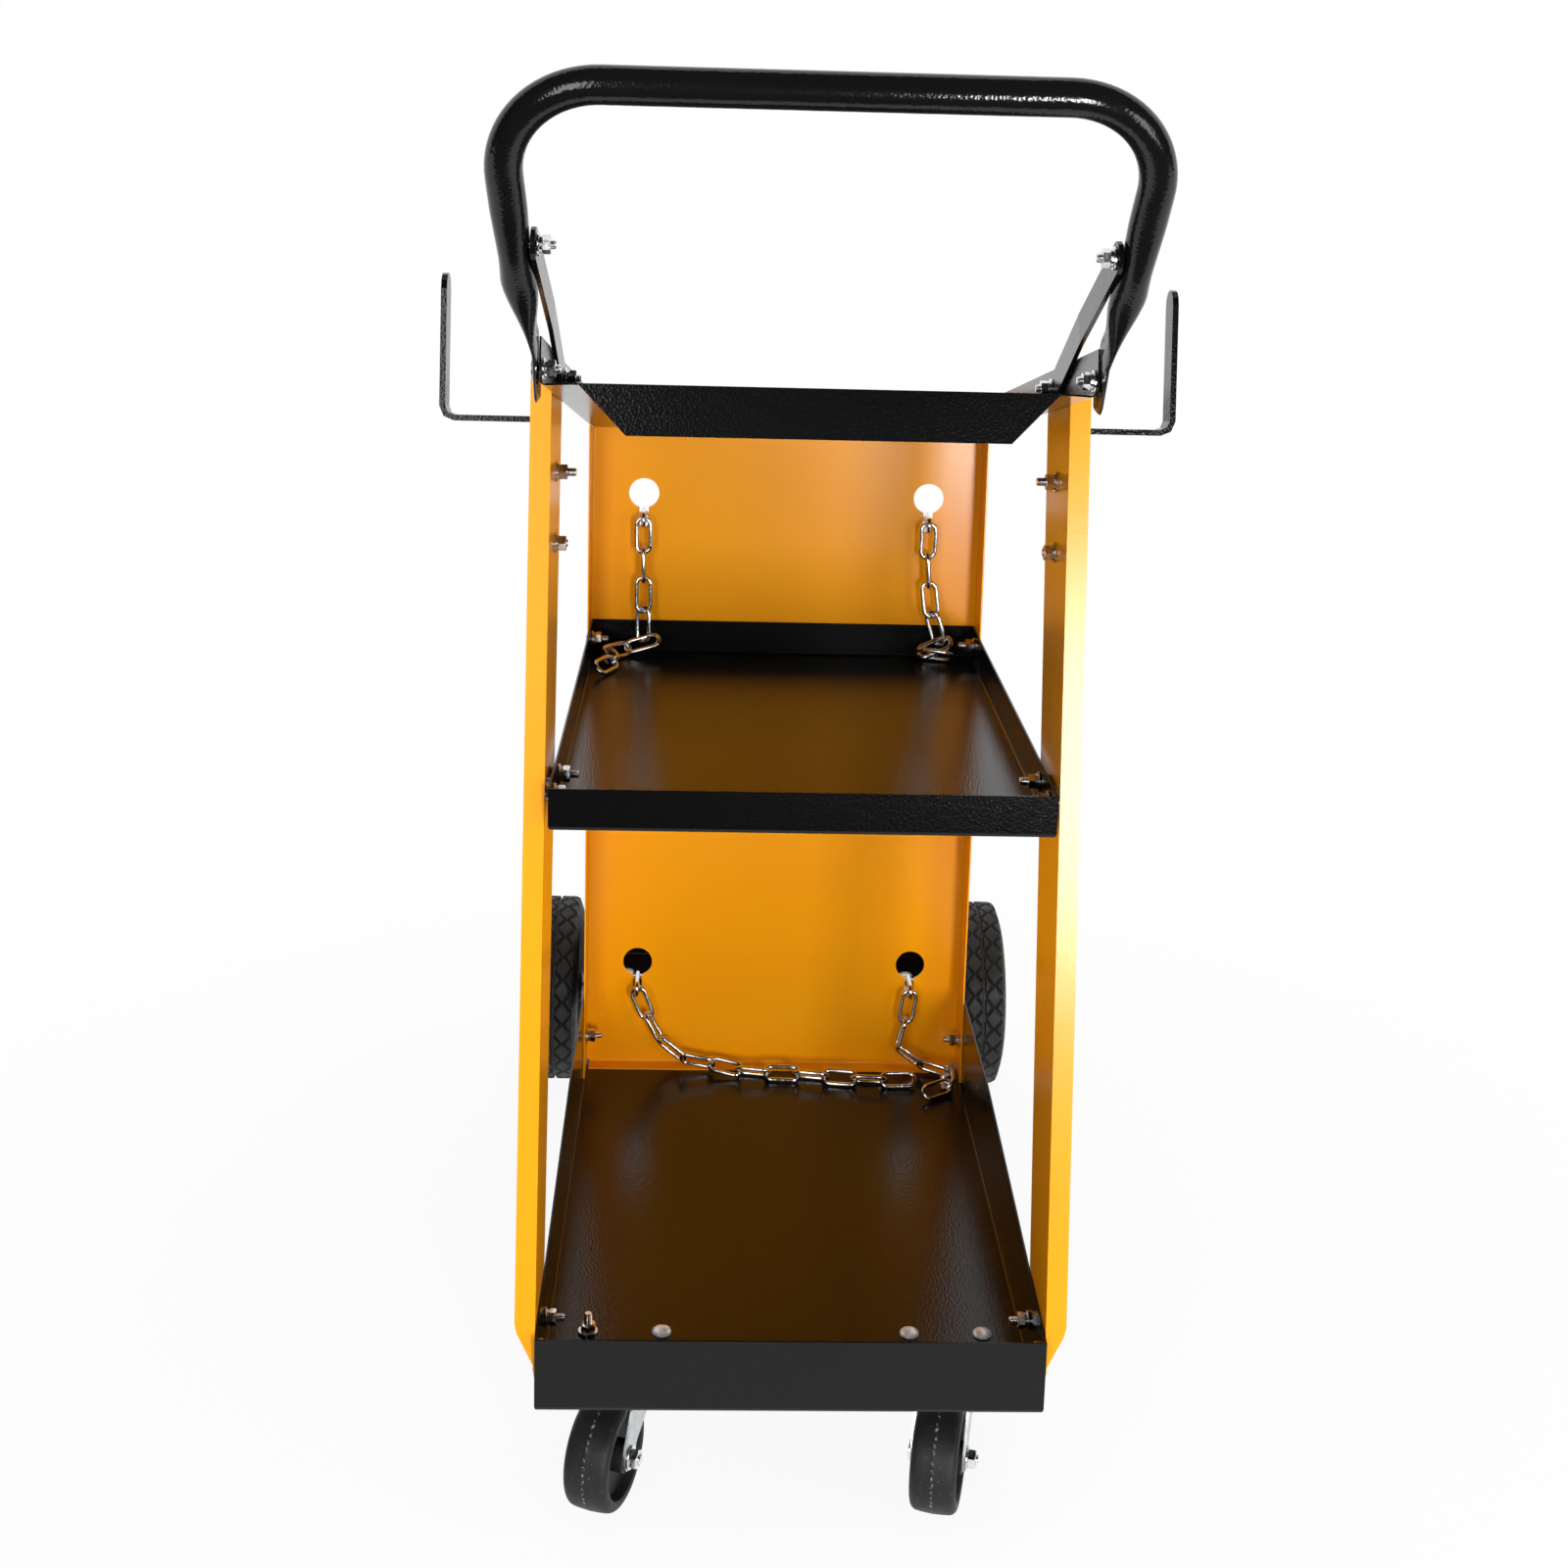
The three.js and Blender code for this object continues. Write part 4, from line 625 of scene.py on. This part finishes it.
add_screws(
    "handle", HANDLE_SCREW, WALL_INSIDE, FLAT_OUTSIDE,
    head=FLAT_HEAD_HEIGHT, tail=HANDLE_SCREW_TAIL,
)
add_screws("strut_lower", STRUT_SCREW, STRUT_INSIDE, WEB_OUTSIDE, tail=HANDLE_SCREW_TAIL)
add_screws(
    "strut_upper", along_lean(STRUT_REACH), strut_upper_inside, strut_upper_outside,
    head=0, tail=HANDLE_SCREW_TAIL,
)
add_screws("hook_upper", HOOK_SCREW, WEB_INSIDE, HOOK_OUTSIDE)
add_screws("hook_lower", hook_lower_screw(), WEB_INSIDE, HOOK_OUTSIDE, tail=HOOK_SCREW_TAIL)

# Screws through the top tray's rear wall and the panel
for side, sign in SIDES:
    offset, height = TOP_REAR_SCREW
    place = Matrix.Translation(point(sign * offset, PANEL - FIT - SHEET, height))
    place = place @ Matrix.Rotation(math.pi / 2, 4, "Z")
    put(f"{side}_top_rear_screw", screw_mesh(FIT + 2 * SHEET), "cart_frame", matrix=place)


# Handle: one bent tube whose ends are pressed flat
def handle_line():
    """Middle line from end to end: place across, place along the lean, heading and station."""
    bend_steps = 20
    splay = math.atan2(HANDLE_SPLAY, HANDLE_REACH - ROUND_START)
    turn = math.pi / 2 + splay
    centre_x = leg_offset(HANDLE_REACH) - HANDLE_BEND * math.tan(turn / 2)
    centre_d = HANDLE_REACH - HANDLE_BEND
    opening = range(FLAT_LENGTH, ROUND_START, 4)
    half = []
    for d in [*FLAT_STATIONS, *opening, *np.linspace(ROUND_START, LEG_END, 12)]:
        half.append((leg_offset(d), d, splay * opened(d), d))
    for step in range(bend_steps + 1):
        angle = splay - turn * step / bend_steps
        x = centre_x + HANDLE_BEND * math.cos(angle)
        half.append((x, centre_d - HANDLE_BEND * math.sin(angle), angle, HANDLE_REACH))
    return half + [(-x, d, math.pi - angle, station) for x, d, angle, station in reversed(half)]


def handle_section(station):
    """Half thickness and half width of the tube."""
    share = opened(station)
    share = share * share * (3 - 2 * share)
    pinch = LEG_PINCH * max(0.0, 1 - abs(station - PINCH_MIDDLE) / PINCH_REACH)
    flat = FLAT_THICKNESS / 2
    thin = flat + (TUBE_RADIUS - pinch - flat) * share
    wide = FLAT_HALF_WIDTH + (TUBE_RADIUS + pinch - FLAT_HALF_WIDTH) * share
    if station < END_START:
        wide *= math.sqrt(max(END_LEAST, 1 - ((END_START - station) / END_LENGTH) ** 2))
    return thin, wide


def make_handle():
    c, s = circle(TUBE_SIDES)
    rings = []
    for x, d, angle, station in handle_line():
        thin, wide = handle_section(station)
        y, z = along_lean(d - thin * c * math.sin(angle))
        y = y + wide * s * math.cos(HANDLE_LEAN)
        z = z + wide * s * math.sin(HANDLE_LEAN)
        rings.append(np.column_stack([x + thin * c * math.cos(angle), y, z]))
    tube = "handle_tube"
    make(f"{tube}_smooth", Shape().rings(rings), BLACK_TUBE, "cart_frame", [tube], sharp=50)


make_handle()


# Round-headed bolts through the base tray's floor
def floor_bolt(name, x, y, grip, stands_for=(), nut_up=False):
    """Bolt whose head is above the floor, or its nut where nut_up."""
    shape = Shape()
    plate = -grip - FIT - WASHER_HEIGHT
    nut = plate - NUT_HEIGHT
    tail = LONG_TAIL if nut_up else SHORT_TAIL
    washer(shape, plate, -grip - FIT, WASHER_HOLE, WASHER_RADIUS)
    hexagon(shape, nut, plate)
    thread(shape, nut - tail, nut + OVERLAP, SCREW_RADIUS)
    rod(shape, SHANK_RADIUS, nut, FIT)
    dome(shape, FIT, DOME_RADIUS, DOME_HEIGHT)
    upright = math.pi / 2 if nut_up else -math.pi / 2
    place = Matrix.Translation(point(x, y, BASE_TOP - grip if nut_up else BASE_TOP))
    place = place @ Matrix.Rotation(upright, 4, "Y") @ Matrix.Rotation(FLOOR_NUT_TURN, 4, "X")
    make(name, shape, ZINC if nut_up else DOME, "cart_frame", stands_for, place)


plate_grip = SHEET + FIT + PLATE_THICKNESS
across, along = (pitch / 2 for pitch in CASTER_BOLT_PITCH)
for side, sign in SIDES:
    for which, offset in (("outer", CASTER[0] + across), ("inner", CASTER[0] - across)):
        nut_up = side == "left" and which == "outer"
        bolt = f"{side}_caster_{which}"
        x = sign * offset
        floor_bolt(f"{bolt}_bolt_detail", x, CASTER[1] + along, plate_grip, [f"{bolt}_bolt"], nut_up)
        floor_bolt(f"{bolt}_front_bolt", x, CASTER[1] - along, plate_grip)
    for which, direction in (("front", -1), ("rear", 1)):
        y = AXLE[0] + direction * SADDLE_BOLT_PITCH / 2
        floor_bolt(f"{side}_saddle_{which}_bolt", sign * SADDLE_OFFSET, y, plate_grip)
floor_bolt("panel_foot_bolt", *PANEL_FOOT_BOLT, SHEET, nut_up=True)


# Tyres with two rows of raised diamonds and a groove between them
def tyre_section():
    """Radius, place along the axle and whether there is tread, from one rim to the other."""
    tread = []
    for x in np.linspace(-TREAD_HALF, TREAD_HALF, TREAD_STEPS):
        over = max(0.0, abs(x) - SHOULDER_START)
        rise = SHOULDER_DROP * math.sqrt(1 - over * over / SHOULDER_SQUARE)
        tread.append((WHEEL_RADIUS - SHOULDER_DROP + rise, x, True))
    left_wall = [(r, -x, False) for r, x in reversed(TYRE_WALL)]
    right_wall = [(r, x, False) for r, x in TYRE_WALL]
    return left_wall + tread + right_wall


def tread_height(x, turn):
    """1 on diamonds and blocks, 0 in grooves; turn is the share of the way round."""
    row = abs((abs(x) - ROW_MIDDLE) / ROW_HALF)
    step = np.abs(2 * ((turn * DIAMONDS + (0.5 if x < 0 else 0)) % 1.0) - 1)
    diamond = 1 - row - step * DIAMOND_TAPER
    block = row + step - BLOCK_START
    height = np.clip(np.maximum(diamond, block) / TREAD_EDGE, 0, 1)
    return height * np.clip((abs(x) - GROOVE_HALF) / GROOVE_EDGE, 0, 1)


def make_tyre(side, sign):
    around = DIAMONDS * DIAMOND_STEPS
    turn = np.arange(around) / around
    c, s = np.cos(2 * math.pi * turn), np.sin(2 * math.pi * turn)
    rings = []
    for r, x, patterned in tyre_section():
        radius = np.full(around, r)
        if patterned:
            radius = radius - TREAD_DEPTH * (1 - tread_height(x, turn))
        rings.append(np.column_stack([np.full(around, x), radius * c, radius * s]))
    shape = Shape().rings(rings, closed=True)
    place = Matrix.Translation(point(sign * WHEEL_OFFSET, *AXLE))
    tyre = f"{side}_rear_tyre"
    make(f"{tyre}_treaded", shape, TYRE, f"{side}_rear_wheel", [tyre], place, sharp=40)


def caster_wheel_place(side, sign):
    """Middle of a caster's wheel, turned as the caster stands."""
    angle = -math.radians(CASTER_TURN[side])
    x = sign * CASTER[0] + CASTER_TRAIL * math.sin(angle)
    y = CASTER[1] - CASTER_TRAIL * math.cos(angle)
    return Matrix.Translation(point(x, y, CASTER_RADIUS)) @ Matrix.Rotation(angle, 4, "Z")


# Caster wheels, turned smooth, with the mould's seam round the middle
def make_roller(side, sign):
    half = list(ROLLER_SIDE)
    for share in np.linspace(0.15, 1, 8):
        angle = share * ROLLER_SWEEP
        r = ROLLER_SHOULDER[0] + ROLLER_ROUND[0] * math.sin(angle)
        half.append((r, ROLLER_SHOULDER[1] + ROLLER_ROUND[1] * math.cos(angle)))
    half += ROLLER_CROWN
    profile = [(r, -x) for r, x in half] + [(r, x) for r, x in reversed(half)]
    shape = turned(Shape(), profile, sides=96)
    place = caster_wheel_place(side, sign)
    wheel, body = f"{side}_caster_wheel", f"{side}_caster_roller"
    make(f"{wheel}_smooth", shape, ROLLER, body, [wheel], place, sharp=34)


# Bolt of a caster wheel: a nut on the right with its washer, a low head on the left
def make_caster_axle(side, sign):
    outside = CASTER_WIDTH / 2 + FORK_GAP + FORK_THICKNESS + FIT
    nut_end = outside + AXLE_NUT_END
    end_radius, end_length = AXLE_BOLT_END
    shape = Shape()
    washer(shape, outside, outside + AXLE_WASHER_HEIGHT, *AXLE_WASHER)
    hexagon(shape, outside + AXLE_WASHER_HEIGHT, nut_end, AXLE_NUT_FLATS)
    rod(shape, AXLE_BOLT_RADIUS, -outside - OVERLAP, nut_end, sides=24)
    rod(shape, end_radius, nut_end - OVERLAP / 2, outside + end_length, sides=24)
    turned(shape, [(r, -outside - height) for r, height in AXLE_HEAD], sides=32, closed=False)
    place = caster_wheel_place(side, sign)
    bolt = f"{side}_caster_axle_bolt"
    make(f"{bolt}_detail", shape, ZINC, f"{side}_caster_swivel_fork", [bolt], place)


for side, sign in SIDES:
    make_tyre(side, sign)
    make_roller(side, sign)
    make_caster_axle(side, sign)


# Chains of separate links
def link_mesh():
    end = LINK_WIDTH / 2 - WIRE
    straight = LINK_PITCH / 2 + WIRE - end
    c, s = circle(14)
    rings = []
    for far, start in ((1, 0), (-1, math.pi)):
        for angle in np.linspace(-math.pi / 2, math.pi / 2, 11):
            turn = angle + start
            x = far * straight + (end + WIRE * c) * math.cos(turn)
            y = (end + WIRE * c) * math.sin(turn)
            rings.append(np.column_stack([x, y, WIRE * s]))
    return new_mesh("link", Shape().rings(rings, closed=True), CHAIN, sharp=60)


LINK = link_mesh()


def add_link(name, start, end, facing, stands_for=()):
    along = (end - start).normalized()
    normal = (facing - along * facing.dot(along)).normalized()
    across = normal.cross(along)
    middle = (start + end) / 2
    place = Matrix((along, across, normal)).transposed().to_4x4()
    place.translation = point(*middle)
    put(name, LINK, "cart_frame", stands_for, place)


def add_chain(name, slot_x, slot_z, rest, aims):
    """Links that reach towards their aims, as in the solid chains.

    An aim is (across, along, up, twist in degrees where there is one) from the slot's link and the
    height at which links rest. A pair of places is a link that lies across the one before.
    """
    height = slot_z - SLOT_DROP + FIT + LINK_WIDTH / 2
    middle = PANEL + SHEET / 2
    behind = Vector((slot_x, middle + LINK_PITCH / 2, height))
    before = Vector((slot_x, middle - LINK_PITCH / 2, height))
    tail = behind - Vector((0, 0, LINK_PITCH))
    depth = Vector((0, 1, 0))
    up = Vector((0, 0, 1))

    def place_of(aim):
        return Vector((slot_x + aim[0], before.y + aim[1], rest + aim[2]))

    def onward(start, aim):
        return start + (place_of(aim) - start).normalized() * LINK_PITCH

    add_link(f"{name}_tail", tail, behind, depth, [name])
    add_link(f"{name}_slot", behind, before, Vector((1, 0, 0)))
    last = before
    for index, aim in enumerate(aims):
        link = f"{name}_link_{index + 1}"
        if len(aim) == 2:
            start = place_of(aim[0])
            last = onward(start, aim[1])
            add_link(link, start, last, up - depth * CROSSED_TILT)
            continue
        joint = onward(last, aim)
        joint.z = max(joint.z, rest)
        along = (joint - last).normalized()
        lying = 1 - abs(along.z)
        facing = depth * (1 - lying) + up * lying
        facing = (facing - along * facing.dot(along)).normalized()
        twist = math.radians(aim[3]) if len(aim) > 3 else 0
        roll = (index % 2) * math.pi / 2 + lying * math.pi / 4 + twist
        add_link(link, last, joint, Matrix.Rotation(roll, 3, along) @ facing)
        last = joint


add_chain("upper_left_chain", -KEYHOLE_OFFSET, KEYHOLE_UPPER, MIDDLE_TOP + LINK_REST, [
    (0.5, 0, 85.5), (1, -0.6, 59.5), (1, -1.5, 33.5), (1.5, -3.5, 7.5, -60),
    ((13, -7.4, 8), (-13, -6.4, 0)), (-29, -26, 0), (-22, -50, 0), (-32, -73, 0),
])
add_chain("upper_right_chain", KEYHOLE_OFFSET, KEYHOLE_UPPER, MIDDLE_TOP + LINK_REST, [
    (-0.5, 0, 85.5), (1.5, -0.6, 59.5), (5, -1.5, 33.5), (13, -3, 9, -60),
    ((20, -7.5, 11), (-6, -8, 0)), (18, -16, 0),
])
add_chain("lower_left_chain", -KEYHOLE_OFFSET, KEYHOLE_LOWER, BASE_TOP + LINK_REST, [
    (10, -0.6, 45.4), (22, -1.6, 23), (41, -3.6, 7.5), (66, -6.6, 3), (90, -13, 0), (115, -18, 0),
    (141, -20, 0), (167, -24, 0), (193, -28, 0), (218, -30, 0), (244, -29, 0),
])
add_chain("lower_right_chain", KEYHOLE_OFFSET, KEYHOLE_LOWER, BASE_TOP + LINK_REST, [
    (-4, -0.6, 44), (-10, -1.6, 20), (9, -4.6, 4.5), (32, -13.6, 0.6), (33, -37.6, 0), (13, -54.6, 0),
])


# Camera of the photograph
def add_camera():
    level = Vector((math.sin(CAMERA_YAW), math.cos(CAMERA_YAW), 0))
    ahead = level * math.cos(CAMERA_PITCH) - Vector((0, 0, math.sin(CAMERA_PITCH)))
    right = Vector((math.cos(CAMERA_YAW), -math.sin(CAMERA_YAW), 0))
    down = ahead.cross(right)
    turned_right = right * math.cos(CAMERA_ROLL) + down * math.sin(CAMERA_ROLL)
    turned_down = down * math.cos(CAMERA_ROLL) - right * math.sin(CAMERA_ROLL)
    camera = bpy.data.objects.new("camera", bpy.data.cameras.new("camera"))
    bpy.context.scene.collection.objects.link(camera)
    camera.data.sensor_width = SENSOR
    camera.data.lens = SENSOR * FOCAL_PIXELS / PHOTO_PIXELS
    camera.data.shift_y = CAMERA_SHIFT
    camera.data.clip_start = 0.05
    place = Matrix((turned_right, -turned_down, -ahead)).transposed().to_4x4()
    place.translation = point(*CAMERA_PLACE)
    camera.matrix_world = place
    bpy.context.scene.camera = camera


add_camera()


# Light, in metres and watts
def add_light(name, place, target, size, power, in_gloss=True):
    data = bpy.data.lights.new(name, "AREA")
    data.shape = "RECTANGLE"
    data.size, data.size_y = size
    data.energy = power
    light = bpy.data.objects.new(name, data)
    bpy.context.scene.collection.objects.link(light)
    place = Vector(place)
    light.location = place
    light.rotation_euler = (Vector(target) - place).to_track_quat("-Z", "Y").to_euler()
    light.visible_glossy = in_gloss


add_light("left_window", (-0.9, -2.45, 1.0), (0, 0, 0.5), (0.8, 1.2), 21)
add_light("right_softbox", (0.6, -2.3, 0.5), (0, 0, 0.5), (0.3, 0.6), 26)
add_light("right_window", (1.6, -1.6, 0.55), (0, 0, 0.4), (0.6, 1.0), 10)
add_light("ceiling", (0.25, -0.5, 2.6), (0, 0.1, 0.5), (1.6, 0.9), 22, in_gloss=False)
add_light("back_window", (-0.4, 2.6, 1.2), (0, 0.2, 0.5), (1.6, 1.2), 28, in_gloss=False)


# Studio: a white world and floor, and a dark room round the front that only gloss shows
def white_to_eye_and_gloss(tree):
    """1 for rays from the camera and in reflections or glass, 0 for light that falls on the cart."""
    path = tree.nodes.new("ShaderNodeLightPath")
    seen = path.outputs["Is Camera Ray"]
    for kind in ("Is Glossy Ray", "Is Transmission Ray"):
        seen = computed(tree, "MAXIMUM", seen, path.outputs[kind])
    return seen


def add_world():
    world = bpy.data.worlds.new("studio")
    bpy.context.scene.world = world
    world.use_nodes = True
    tree = world.node_tree
    background = tree.nodes["Background"]
    background.inputs["Color"].default_value = (1, 1, 1, 1)
    level = spread(tree, white_to_eye_and_gloss(tree), AMBIENT, 1, 0, 1)
    tree.links.new(level, background.inputs["Strength"])


def add_stage(name, corners, faces, material):
    mesh = bpy.data.meshes.new(name)
    mesh.from_pydata(corners, [], faces)
    mesh.materials.append(material)
    piece = bpy.data.objects.new(name, mesh)
    bpy.context.scene.collection.objects.link(piece)
    return piece


def blended(tree, share, first, second):
    """The first shader where share is 0, the second where it is 1."""
    mix = tree.nodes.new("ShaderNodeMixShader")
    tree.links.new(share, mix.inputs["Fac"])
    tree.links.new(first, mix.inputs[1])
    tree.links.new(second, mix.inputs[2])
    return mix.outputs["Shader"]


def floor_material():
    """Pale floor, almost white to the eye, on which a faint shadow stays; clear from below."""
    material, tree, shader = new_material("pale_floor")
    shader.inputs["Base Color"].default_value = (0.9, 0.9, 0.9, 1)
    shader.inputs["Roughness"].default_value = 1
    shader.inputs["Specular IOR Level"].default_value = 0
    place = tree.nodes.new("ShaderNodeTexCoord")
    away = tree.nodes.new("ShaderNodeVectorMath")
    away.operation = "LENGTH"
    tree.links.new(place.outputs["Object"], away.inputs[0])
    whiteness = spread(tree, away.outputs["Value"], FLOOR_WHITE, 1, *SHADOW_REACH)
    white = computed(tree, "MULTIPLY", white_to_eye_and_gloss(tree), whiteness)
    shine = tree.nodes.new("ShaderNodeEmission").outputs["Emission"]
    above = blended(tree, white, shader.outputs["BSDF"], shine)
    from_below = tree.nodes.new("ShaderNodeNewGeometry").outputs["Backfacing"]
    clear = tree.nodes.new("ShaderNodeBsdfTransparent").outputs["BSDF"]
    surface = blended(tree, from_below, above, clear)
    tree.links.new(surface, tree.nodes["Material Output"].inputs["Surface"])
    return material


def add_floor():
    square = [(-1, -1), (1, -1), (1, 1), (-1, 1)]
    corners = [(x * FLOOR_HALF, y * FLOOR_HALF, FLOOR_HEIGHT) for x, y in square]
    add_stage("floor", corners, [(0, 1, 2, 3)], floor_material())


def add_dark_room():
    """Front wall, side walls, ceiling and the floor before the cart, open to the rear."""
    material, _, shader = new_material("dark_room")
    shader.inputs["Base Color"].default_value = (0.01, 0.01, 0.01, 1)
    shader.inputs["Specular IOR Level"].default_value = 0
    ends, heights = (ROOM_FRONT, ROOM_REAR), (ROOM_FLOOR, ROOM_HEIGHT)
    corners = [(x, y, z) for x in (-ROOM_HALF, ROOM_HALF) for y in ends for z in heights]
    corners += [(x, ROOM_FLOOR_END, ROOM_FLOOR) for x in (-ROOM_HALF, ROOM_HALF)]
    # Front wall, left wall, right wall, ceiling and floor
    faces = [(0, 1, 5, 4), (0, 2, 3, 1), (4, 5, 7, 6), (1, 3, 7, 5), (0, 4, 9, 8)]
    room = add_stage("dark_room", corners, faces, material)
    room.visible_camera = False
    room.visible_shadow = False
    room.visible_diffuse = False


add_world()
add_floor()
add_dark_room()

bpy.context.scene.view_settings.view_transform = "Standard"
